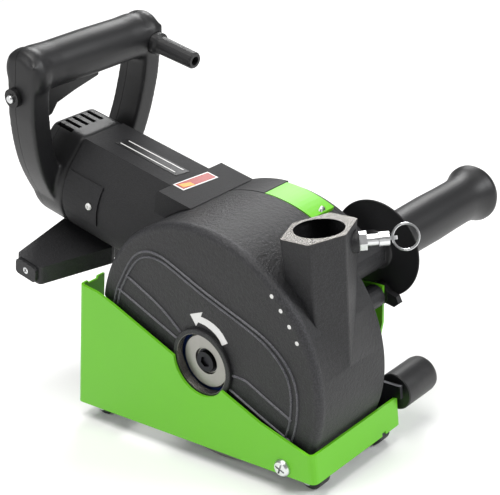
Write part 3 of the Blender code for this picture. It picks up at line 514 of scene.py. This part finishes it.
def blade_paint(name, colour, centre):
    """Painted blade body with bare grey cutting segments at the rim."""
    paint = Paint(name, specular=0.5)
    reach = paint.away(centre)
    rim = reach > SEGMENT_FROM * MM
    hub = reach < BLADE_HUB * MM
    grit = paint.noise(2200, 4, 0.7)
    body = paint.blend(paint.noise(30, 4), scaled(colour, 0.8), scaled(colour, 1.3))
    body = paint.blend(hub * 0.8, body, (0.45, 0.45, 0.46))
    paint.set(Base_Color=paint.blend(rim, body, paint.blend(grit, (0.10, 0.095, 0.09), (0.24, 0.23, 0.22))))
    paint.set(Roughness=0.34 + rim * 0.4, Metallic=hub * 0.7)
    paint.bump(grit * rim, 0.5, 0.0003)
    return paint.material


def commutator_copper(name):
    paint = Paint(name, metallic=1.0)
    bars = paint.noise(420, 2, 0.5, (0.05, 1, 1))
    base = paint.blend(paint.ramp(bars, 0.45, 0.52), (0.25, 0.09, 0.04), (0.72, 0.33, 0.17))
    paint.set(Base_Color=base, Roughness=0.25 + bars * 0.2)
    paint.bump(bars, 0.2, 0.0002)
    return paint.material


class Finishes:
    """The finishes in use, made once."""

    def __init__(self, tune):
        port_axis = BASE @ Vector(PORT_AT)
        bore = PORT_BORE * MM

        def machined(paint):
            top = (paint.part("Z") > port_axis.z - 0.0004) * (paint.away(port_axis, (1.0, 1.0, 0.0)) < 0.032)
            hole = paint.away(port_axis, (1.0, 1.0, 0.0)) < bore + 0.0002
            high = paint.part("Z") > port_axis.z - 0.030
            ring = paint.away(SPINDLE) < (RING_RADIUS + 0.2) * MM
            ring = ring * (paint.part("Y") < NEAR_FACE * MM + SPINDLE.y + 0.02)
            return (top + hole * high + ring).clamped()

        # Painted highlight along the hood's near rounded rim, mixed with rubbed paint: the rim gets lighter specks.
        def near_rim_wear_and_highlight(paint):
            edge = paint.ramp(paint.away(SPINDLE), 0.0915, 0.0955).clamped()
            return edge * (paint.part("Y") < SPINDLE.y + (NEAR_FACE + 6.0) * MM)

        self.coat = powder_coat("green_powder_coat", tune.coat)
        self.casting = cast_paint("charcoal_casting_paint", tune.casting)
        self.hood = cast_paint("charcoal_hood_paint", tune.casting, 1150.0, 1.0, machined, 0.33, near_rim_wear_and_highlight)
        # The ridges' paint is the casting colour made seven times lighter: a painted highlight along the cast ridges.
        self.ridge = cast_paint("ridge_paint_painted_highlight", scaled(tune.casting, 7.0), 1500.0, 0.2, None, 0.3)
        self.housing = cast_paint("charcoal_motor_paint", scaled(tune.casting, 0.9), 2100.0, 0.4, None, 0.56)
        self.plastic = moulded("black_handle_plastic", tune.plastic)
        self.gloss = moulded("black_switch_plastic", scaled(tune.plastic, 0.8), 3000.0, 0.36, 0.1)
        self.rubber = rubber("black_rubber", scaled(tune.plastic, 1.1))
        self.zinc = bare_metal("bright_zinc_plate", (0.78, 0.79, 0.80), 0.2, (1, 1, 1), 500.0, 0.85)
        self.brushed = bare_metal("pressed_zinc_sheet", (0.60, 0.61, 0.62), 0.3, (0.1, 1, 1))
        self.steel = bare_metal("ground_steel", (0.60, 0.59, 0.58), 0.22, (1, 0.15, 1))
        self.flange = turned_steel("turned_flange_steel", (0.36, 0.35, 0.33), SPINDLE)
        self.oxide = bare_metal("black_oxide_steel", (0.035, 0.035, 0.04), 0.3, (1, 1, 1), 900.0, 0.8)
        self.blade = blade_paint("blue_blade_paint", tune.blade, SPINDLE)
        self.iron = bare_metal("machined_iron", (0.30, 0.30, 0.31), 0.42, (1, 1, 1), 700.0, 0.7, 0.25)
        self.copper = commutator_copper("copper_bars")
        self.mark = powder_coat("white_marking_paint", tune.mark)
        self.red = powder_coat("red_label_print", (0.30, 0.012, 0.006))
        self.amber = powder_coat("amber_label_print", (0.80, 0.30, 0.02))


STORE = {}


def finishes():
    if "made" not in STORE:
        STORE["made"] = Finishes(bpy.context.scene.wall_chaser)
    return STORE["made"]


# ---------------------------------------------------------------- hood

def port_outline():
    corners = ((21, 0), (11, 25), (-11, 25), (-21, 0), (-11, -25), (11, -25))
    return [(PORT_AT[0] + u, PORT_AT[1] + v) for u, v in corners]


def port_shape():
    """Hexagonal port whose walls draw in towards the hood, in the upright frame."""
    bm = slab(port_outline(), 56.6, PORT_AT[2], "XY")
    for vertex in bm.verts:
        if vertex.co.z < 100:
            vertex.co.x -= 3
            vertex.co.y = PORT_AT[1] - 3 + (vertex.co.y - PORT_AT[1]) * 0.72
    sides = [edge for edge in bm.edges if abs(edge.verts[0].co.z - edge.verts[1].co.z) > 50]
    bmesh.ops.bevel(bm, geom=sides, offset=1.3, segments=3, profile=0.5, affect="EDGES")
    return bm


def hood_ridges(height):
    """Cast ridge lines on the hood's near wall, in the hood's frame."""
    lines = {
        "loop": [(-84.0, -13.0), (-84.8, 1.0), (-83.2, 9.8), (-81.1, 24.8), (-77.0, 38.0), (-68.6, 47.3), (-57.1, 51.6),
                 (-44.7, 52.0), (-19.4, 51.6), (-4.7, 52.3), (18.7, 53.5), (39.0, 54.1), (55.0, 49.8),
                 (65.2, 43.6), (72.4, 34.4), (77.5, 20.8), (80.4, 7.6), (81.0, -4.0), (80.6, -13.0)],
        "pocket_left": [(-80.0, 16.4), (-62.7, 15.6), (-46.0, 14.2), (-34.9, 11.5), (-24.5, 8.2)],
        "pocket_right": [(24.2, 8.4), (33.9, 13.1), (44.1, 12.4), (75.5, 11.6)],
        "edge_left": [(-83.3, 1.3), (-55.1, 1.3), (-26.0, 1.3)],
        "edge_right": [(25.2, -3.4), (50.3, -4.0), (79.6, -3.8)],
    }
    made = []
    lines["inner_loop"] = [(u + (-20.0 - u) * 0.052, v + (12.0 - v) * 0.085) for u, v in lines["loop"]]
    for name, line in lines.items():
        points = [(u, NEAR_FACE + 0.25, v) for u, v in smooth_line(line, 3)]
        made.append(rod_along(points, 0.85, "hood_ridge_" + name, HOOD, 12, (height / MM + 0.25) / 0.85))
    return made


class WALLCHASER_OT_hood(bpy.types.Operator):
    """Builds the drum-shaped hood with its dust port, ring and cast ridges"""
    bl_idname = "wall_chaser.hood"
    bl_label = "Hood"

    def execute(self, context):
        tune = context.scene.wall_chaser
        look = finishes()
        r = DRUM
        round_near = arc((r - 5, NEAR_FACE + 5), 5, 0, -90, 6)
        drum = [(0, FAR_FACE), (r - 0.7, FAR_FACE), (r, FAR_FACE - 0.7)] + round_near + [(0, NEAR_FACE)]
        hood = mesh_object("hood_casting", lathe(drum, "Y", steps=tune.steps), HOOD)
        carve(hood, [block((-110, -60, -110), (110, 40, FOOT))], HOOD)
        pivot = inside(HOOD, JOINTS["plunge"]["pos_m"])
        ear = arc((pivot.x, pivot.z), 8.5, 200, 345, 16)
        boss = [(0, -39), (24.0, -39), (25.2, -42.1), (25.2, -44.4), (24.6, -45.0), (0, -45.0)]
        grown = [lathe(boss, "Y", steps=72),
                 slab(ear + [(88, 4), (60, 4)], NEAR_FACE + 0.2, -38.6),
                 slab(ear + [(97.2, 4), (60, 4)], 24.3, FAR_FACE - 0.1)]
        carve(hood, grown, HOOD, "UNION")
        carve(hood, [port_shape()], BASE, "UNION")
        chamber = lathe([(0, 40), (r - 3, 40), (r - 3, NEAR_FACE + 5), (r - 5.4, NEAR_FACE + 2.6),
                         (0, NEAR_FACE + 2.6)], "Y", steps=tune.steps)
        keep = mesh_object("helper_chamber", chamber, HOOD)
        carve(keep, [block((-110, -60, -110), (110, 60, FOOT - 0.5))], HOOD)
        cut = hood.modifiers.new("chamber", "BOOLEAN")
        cut.solver = "EXACT"
        cut.object = keep
        applied(hood)
        bpy.data.objects.remove(keep, do_unlink=True)
        carve(hood, [lathe([(0, -60), (RING_RADIUS, -60), (RING_RADIUS, -36), (0, -36)], "Y", steps=72),
                     lathe([(0, -60), (3.4, -60), (3.4, 40), (0, 40)], "Y", (pivot.x, 0, pivot.z), 32)], HOOD)
        carve(hood, [lathe([(0, 92), (14.5, 92), (PORT_BORE, PORT_AT[2] + 1), (0, PORT_AT[2] + 1)], "Z",
                           (PORT_AT[0], PORT_AT[1], 0), 72)], BASE)
        carve(hood, [lathe([(0, -110), (15.5, -110), (15.5, -70), (0, -70)], "X",
                           (0, MOTOR_AXIS[0], MOTOR_AXIS[1]), 48)], MOTOR)
        plunger = plunger_frame()
        seat = [(0, -5), (7.4, -5), (7.4, 1.0), (6.9, 1.5), (0, 1.5)]
        carve(hood, [lathe(seat, "X", steps=40)], plunger, "UNION")
        bore = [(0, -14), (2.2, -14), (2.2, -4.3), (4.0, -4.3), (4.0, 10), (0, 10)]
        carve(hood, [lathe(bore, "X", steps=32)], plunger)
        hood.data.shade_smooth()
        hood.data.set_sharp_from_angle(angle=radians(33))
        soften(hood, 0.45, 2, 33)
        finish(hood, look.hood, "head", ["hood"])
        # The ridges take the lighter ridge paint, which is a painted highlight.
        for ridge in hood_ridges(tune.ridge):
            finish(ridge, look.ridge, "head", ())
        return {"FINISHED"}


def plunger_frame():
    """Millimetre frame along the port's plunger."""
    way = Vector(JOINTS["plunger_pull"]["axis"])
    eye = Vector(JOINTS["ring_swing"]["pos_m"])
    side = Vector((0, 0, 1)).cross(way).normalized()
    turn = Matrix((way, side, Vector((0, 0, 1)))).transposed().to_4x4()
    return Matrix.Translation(eye - way * 22.6 * MM) @ turn @ Matrix.Scale(MM, 4)


class WALLCHASER_OT_markings(bpy.types.Operator):
    """Paints the turning arrow and the depth dots on the hood"""
    bl_idname = "wall_chaser.markings"
    bl_label = "Markings"

    def execute(self, context):
        look = finishes()
        shape = [(-21.4, 27.4), (-12.7, 36.1), (-12.9, 31.9), (-7.0, 33.6), (-1.5, 34.2), (3.4, 33.7), (7.6, 32.1),
                 (12.9, 28.8), (9.4, 23.7), (6.4, 26.2), (2.4, 27.9), (-2.2, 28.5), (-7.6, 28.2), (-13.4, 26.4),
                 (-14.2, 22.3)]
        arrow = mesh_object("turning_arrow", slab(shape, NEAR_FACE - 0.35, NEAR_FACE + 0.2), HOOD)
        finish(soften(arrow, 0.12, 2), look.mark, "head")
        for i, (u, v) in enumerate(((31.9, 85.8), (41.3, 80.9), (50.7, 74.9), (59.7, 68.0))):
            dot = lathe([(0, NEAR_FACE - 0.35), (1.1, NEAR_FACE - 0.35), (1.5, NEAR_FACE - 0.05),
                         (1.5, NEAR_FACE + 0.4), (0, NEAR_FACE + 0.4)], "Y", (u, 0, v), 20)
            finish(mesh_object("depth_dot_%d" % (i + 1), dot, HOOD), look.mark, "head")
        return {"FINISHED"}


# ---------------------------------------------------------------- motor

def barrel_outline(radius=39.0, flat=19.0, count=72):
    """Round motor barrel with a flat top, in Y and up."""
    middle = MOTOR_AXIS
    top = MOTOR_TOP
    rise = top - middle[1]
    lean = hypot(flat, rise)
    reach = degrees(atan2(rise, flat)) - degrees(atan2((1 - (radius / lean) ** 2) ** 0.5, radius / lean))
    points = arc(middle, radius, 180 - reach, 360 + reach, count)
    return points + [(middle[0] + flat, top), (middle[0] + flat * 0.33, top), (middle[0] - flat * 0.33, top),
                     (middle[0] - flat, top)]


class WALLCHASER_OT_motor(bpy.types.Operator):
    """Builds the motor housing with its front block, panels and plates"""
    bl_idname = "wall_chaser.motor"
    bl_label = "Motor housing"

    def execute(self, context):
        look = finishes()
        y, n = MOTOR_AXIS
        barrel = mesh_object("motor_barrel", slab(barrel_outline(), -163.8, -50, "YZ"), MOTOR)
        front = slab([(-81, 46), (-81, 82.4), (-78.6, 84.9), (-40, 84.9), (-40, 46)], y - 31.8, y + 31.8)
        carve(barrel, [front], MOTOR, "UNION")
        grooves = []
        for start, end in ((140, 232), (-52, 40)):
            band = arc(MOTOR_AXIS, 39.35, start, end, 30) + arc(MOTOR_AXIS, 41, end, start, 30)
            grooves.append(slab(band, -122.6, -121.8, "YZ"))
        carve(barrel, grooves + [lathe([(0, -170), (34, -170), (34, -90), (0, -90)], "X", (0, y, n), 64),
                                 lathe([(0, -60), (DRUM + 0.4, -60), (DRUM + 0.4, 80), (0, 80)], "Y",
                                       steps=180)], MOTOR)
        finish(soften(barrel, 0.8, 3, 30), look.housing, "head", ["motor_housing"])
        plate = mesh_object("name_plate", slab([(-146, y - 7), (-86, y - 7), (-84, y + 5), (-144, y + 5)],
                                               84.4, 84.95, "XY"), MOTOR)
        finish(soften(plate, 0.2), look.gloss, "head")
        bars = [((-143, y - 4.6), (-89.5, y - 3.8)), ((-141.5, y + 2.2), (-88, y + 3.0))]
        for i, (low, high) in enumerate(bars):
            bar = mesh_object("name_plate_line_%d" % (i + 1), block((*low, 84.8), (*high, 85.15)), MOTOR)
            finish(bar, look.mark, "head")
        for i, (margin, top, paint) in enumerate(((0.0, 85.25, look.mark), (1.1, 85.4, look.red),
                                                  (2.6, 85.55, look.amber))):
            low, high = y - 18 + margin, y + (14 if i < 2 else -4) - margin
            shape = [(-78.5 + margin, low), (-68.5 - margin, low),
                     (-65.5 - margin, high), (-75.5 + margin, high)]
            badge = mesh_object("rating_plate_%d" % (i + 1), slab(shape, 84.7, top, "XY"), MOTOR)
            finish(soften(badge, 0.1), paint, "head")
        carry(["brush_cover_near", "brush_cover_far"], look.housing, 0.25)
        return {"FINISHED"}


# ---------------------------------------------------------------- main handle

def leg_line(side):
    path = [(54.5, 149), (54.5, 112), (52.5, 98), (49.5, 82), (44, 64), (35, 46), (25, 30)]
    return smooth_line([(MOTOR_AXIS[0] + side * u, v) for u, v in path], 2)


def strip(path, half):
    """Outline of a strip about a path."""
    left = []
    right = []
    for i, point in enumerate(path):
        before = Vector(path[max(i - 1, 0)])
        after = Vector(path[min(i + 1, len(path) - 1)])
        along = (after - before).normalized()
        side = Vector((-along.y, along.x)) * half
        left.append(tuple(Vector(point) + side))
        right.append(tuple(Vector(point) - side))
    return left + right[::-1]


def handle_form(tune):
    """The cap, legs and grip grown into one smooth body."""
    y = MOTOR_AXIS[0]
    pieces = [slab(barrel_outline(), -198, -164.1, "YZ")]
    pieces += [slab(strip(leg_line(side), 8.0), -198, -171.5, "YZ") for side in (-1, 1)]
    pieces.append(lathe([(0, y - 52), (17, y - 52), (16.2, y - 34), (16.6, y), (16.2, y + 34), (17, y + 50),
                         (0, y + 50)], "Y", (-186.4, 0, 138.5), 64))
    for side in (-1, 1):
        knob = [(0, -8.4), (12, -8.4), (16.9, -5.5), (18.2, 0), (16.9, 5.5), (12, 8.4), (0, 8.4)]
        pieces.append(lathe(knob, "Y", (-185.6, y + side * 54.4, 137.9), 48))
    bm = bmesh.new()
    for piece in pieces:
        edges = [edge for edge in piece.edges if edge.calc_face_angle(0) > radians(50)]
        bmesh.ops.bevel(piece, geom=edges, offset=3.6, segments=3, profile=0.5, affect="EDGES",
                        clamp_overlap=True)
        spare = bpy.data.meshes.new("spare")
        piece.to_mesh(spare)
        piece.free()
        bm.from_mesh(spare)
        bpy.data.meshes.remove(spare)
    form = mesh_object("handle_form", bm, MOTOR, 180)
    remesh = form.modifiers.new("grow", "REMESH")
    remesh.mode = "VOXEL"
    remesh.voxel_size = tune.blend
    remesh.use_smooth_shade = True
    relax = form.modifiers.new("relax", "SMOOTH")
    relax.factor = 0.5
    relax.iterations = 9
    return applied(form)


class WALLCHASER_OT_handle(bpy.types.Operator):
    """Builds the D-handle and its end cap as two shells with a seam"""
    bl_idname = "wall_chaser.handle"
    bl_label = "Main handle"

    def execute(self, context):
        tune = context.scene.wall_chaser
        look = finishes()
        form = handle_form(tune)
        y = MOTOR_AXIS[0]
        cuts = [block((-193.2, y - 45.2, 104), (-179.8, y + 12.4, 133)),
                lathe([(0, -50), (3.4, -50), (3.4, -29), (0, -29)], "Y", (-189.4, 0, 120), 24)]
        for i in range(6):
            start = y - 19 + 7.2 * i
            cuts.append(block((-193.6, start, 76), (-178, start + 3.4, 92)))
        seat = lathe([(0, -171.7), (8.8, -171.7), (8.8, -150), (0, -150)], "X", (0, y + 54.5, 137), 40)
        cuts.append(seat)
        carve(form, cuts, MOTOR)
        for name, node, low, high in (("handle_front_shell", "handle_front", -260.0, HANDLE_SEAM + HANDLE_GAP),
                                      ("handle_rear_shell", "handle_back", HANDLE_SEAM - HANDLE_GAP, 0.0)):
            shell = form.copy()
            shell.data = form.data.copy()
            shell.name = name
            context.scene.collection.objects.link(shell)
            carve(shell, [block((low, -80, -80), (high, 140, 220))], MOTOR)
            shell.data.shade_smooth()
            shell.data.set_sharp_from_angle(angle=radians(40))
            finish(shell, look.plastic, "head", [node])
        bpy.data.objects.remove(form, do_unlink=True)
        carry(["trigger", "lock_collar"], look.gloss, 0.3)
        carry(["cable_boot"], look.rubber, 0.3)
        carry(["lock_button"], look.zinc, 0.2)
        carry(["switch"], look.gloss, 0.3)
        return {"FINISHED"}


# ---------------------------------------------------------------- sled

class WALLCHASER_OT_sled(bpy.types.Operator):
    """Finishes the green guard, its sole, rollers, springs and depth bracket"""
    bl_idname = "wall_chaser.sled"
    bl_label = "Guard sled"

    def execute(self, context):
        look = finishes()
        carry(["guard_shell"], look.coat, 0.45)
        carry(["depth_bracket"], look.coat, 0.3)
        carry(["sole_plate"], look.brushed, 0.25)
        carry(["roller_front_near", "roller_front_far", "roller_rear_near", "roller_rear_far"], look.rubber, 0.4)
        carry(["roller_axle_front", "roller_axle_rear"], look.steel, 0.2)
        carry(["return_spring"], look.steel, 0)
        carry(["front_grip_mount"], look.oxide, 0.3)
        carry(["depth_lock_knob"], look.plastic, 0.6)
        return {"FINISHED"}


class WALLCHASER_OT_grips(bpy.types.Operator):
    """Builds the side grip with its hand guard, and the short front grip"""
    bl_idname = "wall_chaser.grips"
    bl_label = "Side grips"

    def execute(self, context):
        look = finishes()
        low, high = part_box("auxiliary_grip")
        axis = ((low[0] + high[0]) / 2, (low[2] + high[2]) / 2)
        at = inside(BASE, (axis[0], 0, axis[1]))
        grip = [(0, 195.0), (9, 195.0), (15, 193.9), (19, 191.4), (20.9, 188.0), (20.9, 185.4), (19.4, 181.6),
                (17.4, 176.0), (16.5, 168), (16.5, 150), (16.9, 130), (16.6, 108), (16.3, 92), (16.9, 82),
                (17.4, 78.4), (17.4, 76.4), (16.4, 75.8), (16.4, 74.8), (17.4, 74.2), (17.2, 71.6), (0, 71.6)]
        made = mesh_object("side_grip_sleeve", lathe(grip, "Y", (at.x, 0, at.z), 80), BASE)
        finish(soften(made, 0.5, 2), look.plastic, "head", ["auxiliary_grip"])
        disc = [(0, 71.2), (22, 71.2), (32.6, 70.6), (34.4, 70.1), (35.0, 69.3), (34.4, 68.7), (32.6, 68.9),
                (22, 68.6), (14, 67.6), (13, 66.2), (12.4, 62.5), (4.9, 62.5), (4.9, 42), (0, 42)]
        made = mesh_object("hand_guard_disc", lathe(disc, "Y", (at.x, 0, at.z), 96), BASE)
        finish(soften(made, 0.3, 2), look.plastic, "head", ["hand_guard"])
        low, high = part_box("front_grip")
        at = inside(BASE, ((low[0] + high[0]) / 2, 0, (low[2] + high[2]) / 2))
        tube = [(0, 83.9), (8.0, 83.9), (10.9, 83.1), (12.6, 81.2), (13.2, 78.4), (13.2, 49.2),
                (12.6, 48.4), (0, 48.4)]
        made = mesh_object("front_grip_sleeve", lathe(tube, "Y", (at.x, 0, at.z), 64), BASE)
        finish(made, look.rubber, "sled", ["front_grip"])
        return {"FINISHED"}


# ---------------------------------------------------------------- gears, blades and the rest of the head

class WALLCHASER_OT_gearbox(bpy.types.Operator):
    """Finishes the gear housing, its cover and the green top strip"""
    bl_idname = "wall_chaser.gearbox"
    bl_label = "Gear housing"

    def execute(self, context):
        look = finishes()
        carry(["gear_housing", "gear_cover"], look.casting, 0.5)
        carry(["top_cover"], look.coat, 0.35)
        carry(["lay_shaft", "spindle_bearing_near", "spindle_bearing_far", "rotor_bearing_front",
               "rotor_bearing_rear"], look.steel, 0.25)
        carry(["bevel_wheel", "lay_gear", "spindle_gear"], look.iron, 0.15)
        return {"FINISHED"}


class WALLCHASER_OT_blades(bpy.types.Operator):
    """Finishes the blades, spacers, flanges, bolt and spindle"""
    bl_idname = "wall_chaser.blades"
    bl_label = "Blades and spindle"

    def execute(self, context):
        look = finishes()
        carry(["blade_1", "blade_2", "blade_3", "blade_4"], look.blade, 0.15)
        carry(["blade_spacer_1", "blade_spacer_2", "blade_spacer_3", "spindle"], look.steel, 0.25)
        carry(["inner_flange"], look.flange, 0.3)
        carry(["blade_bolt"], look.oxide, 0.4)
        rim = [(8.6, -36.2), (8.6, -38.2), (8.9, -38.2), (9.6, -39.7), (14.0, -39.9), (18.6, -39.9), (19.6, -38.9),
               (19.8, -36.2), (19.2, -35.7), (8.6, -35.7), (8.6, -36.2)]
        made = mesh_object("outer_flange_face", lathe(rim, "Y", steps=96), MOTOR)
        ring = mesh_object("bolt_seat", lathe([(4.3, -38.0), (8.7, -38.0), (8.7, -35.8), (4.3, -35.8),
                                               (4.3, -38.0)], "Y", steps=48), MOTOR)
        finish(made, look.flange, "blade_set", ["outer_flange"])
        finish(ring, look.oxide, "blade_set")
        return {"FINISHED"}


class WALLCHASER_OT_electrics(bpy.types.Operator):
    """Finishes the motor's inner pieces"""
    bl_idname = "wall_chaser.electrics"
    bl_label = "Motor insides"

    def execute(self, context):
        look = finishes()
        carry(["armature"], look.steel, 0.2)
        carry(["stator_core", "carbon_brush_near", "carbon_brush_far"], look.iron, 0.3)
        carry(["commutator"], look.copper, 0.2)
        carry(["fan"], look.gloss, 0.2)
        return {"FINISHED"}


class WALLCHASER_OT_plunger(bpy.types.Operator):
    """Finishes the port's spring plunger and its pull ring"""
    bl_idname = "wall_chaser.plunger"
    bl_label = "Port plunger"

    def execute(self, context):
        look = finishes()
        carry(["plunger_body"], look.zinc, 0.4)
        carry(["plunger_pin"], look.zinc, 0.25)
        carry(["plunger_ring"], look.zinc, 0)
        return {"FINISHED"}


class WALLCHASER_OT_foot(bpy.types.Operator):
    """Finishes the support foot"""
    bl_idname = "wall_chaser.foot"
    bl_label = "Support foot"

    def execute(self, context):
        look = finishes()
        carry(["support_foot"], look.casting, 1.6)
        return {"FINISHED"}


# ---------------------------------------------------------------- screws

def screw_head(name, matrix, at, axis, radius, height, out, slot):
    """A pan head with a cross recess; out is the way that it faces, slot the recess's width."""
    profile = [(0, out * height), (radius * 0.45, out * height), (radius * 0.78, out * height * 0.86),
               (radius * 0.95, out * height * 0.5), (radius, out * height * 0.15), (radius, -out * 0.4),
               (0, -out * 0.4)]
    made = mesh_object(name, lathe(profile, axis, at, 40), matrix)
    floor, over = sorted((out * height * 0.3, out * height * 2))
    cuts = []
    for turn in (0.4, 0.4 + pi / 2):
        bm = block((-radius * 0.62, -slot / 2, floor), (radius * 0.62, slot / 2, over))
        bm.transform(Matrix.Translation(at) @ AXES[axis] @ Matrix.Rotation(turn, 4, "Z"))
        cuts.append(bm)
    carve(made, cuts, matrix)
    return soften(made, 0.12, 2)


class WALLCHASER_OT_screws(bpy.types.Operator):
    """Adds the visible screws"""
    bl_idname = "wall_chaser.screws"
    bl_label = "Screws"

    def execute(self, context):
        look = finishes()
        carry(["pivot_screw_far"], look.zinc, 0.2)
        pivot = inside(BASE, JOINTS["plunge"]["pos_m"])
        head = screw_head("pivot_screw_head", BASE, (pivot.x, -47.7, pivot.z), "Y", 6.1, 3.2, -1, 1.3)
        shank = [(0, -47.9), (2.9, -47.9), (2.9, -35.9), (0, -35.9)]
        carve(head, [lathe(shank, "Y", (pivot.x, 0, pivot.z), 24)], BASE, "UNION")
        finish(head, look.zinc, "sled", ["pivot_screw_near"])
        if not context.scene.wall_chaser.screws:
            return {"FINISHED"}
        y = MOTOR_AXIS[0]
        spot = screw_head("brush_cover_screw", MOTOR, (-135.5, y - 40.6, 49.3), "Y", 2.6, 1.2, -1, 0.7)
        finish(spot, look.mark, "head")
        foot = screw_head("foot_screw", MOTOR, (-161.5, -55.0, -3.4), "Y", 3.0, 0.8, -1, 0.9)
        finish(foot, look.zinc, "head")
        strip = screw_head("top_strip_screw", BASE, (-48.4, 40.5, 149.4), "X", 3.0, 1.5, 1, 0.8)
        finish(strip, look.zinc, "head")
        return {"FINISHED"}


# ---------------------------------------------------------------- stage

EYE = (506.97, -623.65, 477.38)
AZIMUTH, RISE, ROLL = 0.754, 0.3835, -0.1069


def camera_matrix():
    back = Vector((sin(AZIMUTH) * cos(RISE), -cos(AZIMUTH) * cos(RISE), sin(RISE)))
    right = (-back).cross(Vector((0, 0, 1))).normalized()
    up = right.cross(-back)
    x = right * cos(ROLL) + up * sin(ROLL)
    y = up * cos(ROLL) - right * sin(ROLL)
    turn = Matrix((x, y, back)).transposed().to_4x4()
    return Matrix.Translation(BASE @ Vector(EYE)) @ turn


class WALLCHASER_OT_stage(bpy.types.Operator):
    """Sets up the floor, studio lights and camera"""
    bl_idname = "wall_chaser.stage"
    bl_label = "Stage"

    def execute(self, context):
        tune = context.scene.wall_chaser
        scene = context.scene
        paint = Paint("studio_floor", roughness=0.9, specular=0.1)
        paint.set(Base_Color=paint.blend(paint.noise(3, 3), scaled(tune.floor, 0.985), tune.floor))
        bm = bmesh.new()
        bmesh.ops.create_grid(bm, x_segments=1, y_segments=1, size=30.0)
        floor = mesh_object("studio_floor", bm, Matrix.Identity(4))
        floor.data.materials.append(paint.material)
        camera = bpy.data.cameras.new("studio_camera")
        camera.lens = 1399.43 * 36 / 500
        camera.sensor_width = 36.0
        camera.clip_end = 200.0
        holder = bpy.data.objects.new("studio_camera", camera)
        holder.matrix_world = camera_matrix()
        scene.collection.objects.link(holder)
        scene.camera = holder
        for name, place, size, power, colour in (
                ("key_light", (0.2, -0.5, 2.3), 1.6, 44.0, (1.0, 0.99, 0.97)),
                ("right_light", (1.7, 0.7, 1.3), 0.8, 24.0, (0.98, 0.99, 1.0)),
                ("rear_light", (-0.9, 1.5, 1.5), 1.0, 22.0, (1.0, 1.0, 1.0)),
                ("near_light", (-0.7, -1.9, 0.9), 1.0, 10.0, (1.0, 1.0, 1.0))):
            lamp = bpy.data.lights.new(name, "AREA")
            lamp.shape = "DISK"
            lamp.size = size
            lamp.energy = power * tune.light
            lamp.color = colour
            made = bpy.data.objects.new(name, lamp)
            made.location = place
            made.rotation_euler = (Vector((0, 0, 0.12)) - Vector(place)).to_track_quat("-Z", "Y").to_euler()
            scene.collection.objects.link(made)
        world = bpy.data.worlds.new("studio_air")
        scene.world = world
        world.use_nodes = True
        air = world.node_tree.nodes["Background"]
        air.inputs["Color"].default_value = (1.0, 1.0, 1.0, 1.0)
        air.inputs["Strength"].default_value = 0.28
        scene.view_settings.view_transform = "Standard"
        return {"FINISHED"}


class WALLCHASER_PT_panel(bpy.types.Panel):
    """Lists the wall chaser's pieces"""
    bl_idname = "WALLCHASER_PT_panel"
    bl_label = "Wall Chaser"
    bl_space_type = "VIEW_3D"
    bl_region_type = "UI"
    bl_category = "Wall Chaser"

    def draw(self, context):
        tune = context.scene.wall_chaser
        for key in WallChaserSettings.__annotations__:
            self.layout.prop(tune, key)
        for operator in OPERATORS:
            self.layout.operator(operator.bl_idname)


OPERATORS = (WALLCHASER_OT_sled, WALLCHASER_OT_hood, WALLCHASER_OT_markings, WALLCHASER_OT_gearbox,
             WALLCHASER_OT_motor, WALLCHASER_OT_handle, WALLCHASER_OT_foot, WALLCHASER_OT_grips,
             WALLCHASER_OT_blades, WALLCHASER_OT_electrics, WALLCHASER_OT_plunger, WALLCHASER_OT_screws,
             WALLCHASER_OT_stage)


def register():
    bpy.utils.register_class(WallChaserSettings)
    bpy.types.Scene.wall_chaser = PointerProperty(type=WallChaserSettings)
    for operator in OPERATORS:
        bpy.utils.register_class(operator)
    bpy.utils.register_class(WALLCHASER_PT_panel)


def unregister():
    bpy.utils.unregister_class(WALLCHASER_PT_panel)
    for operator in reversed(OPERATORS):
        bpy.utils.unregister_class(operator)
    del bpy.types.Scene.wall_chaser
    bpy.utils.unregister_class(WallChaserSettings)


def main():
    register()
    bpy.ops.wall_chaser.sled()
    bpy.ops.wall_chaser.hood()
    bpy.ops.wall_chaser.markings()
    bpy.ops.wall_chaser.gearbox()
    bpy.ops.wall_chaser.motor()
    bpy.ops.wall_chaser.handle()
    bpy.ops.wall_chaser.foot()
    bpy.ops.wall_chaser.grips()
    bpy.ops.wall_chaser.blades()
    bpy.ops.wall_chaser.electrics()
    bpy.ops.wall_chaser.plunger()
    bpy.ops.wall_chaser.screws()
    bpy.ops.wall_chaser.stage()


if __name__ == "__main__":
    main()
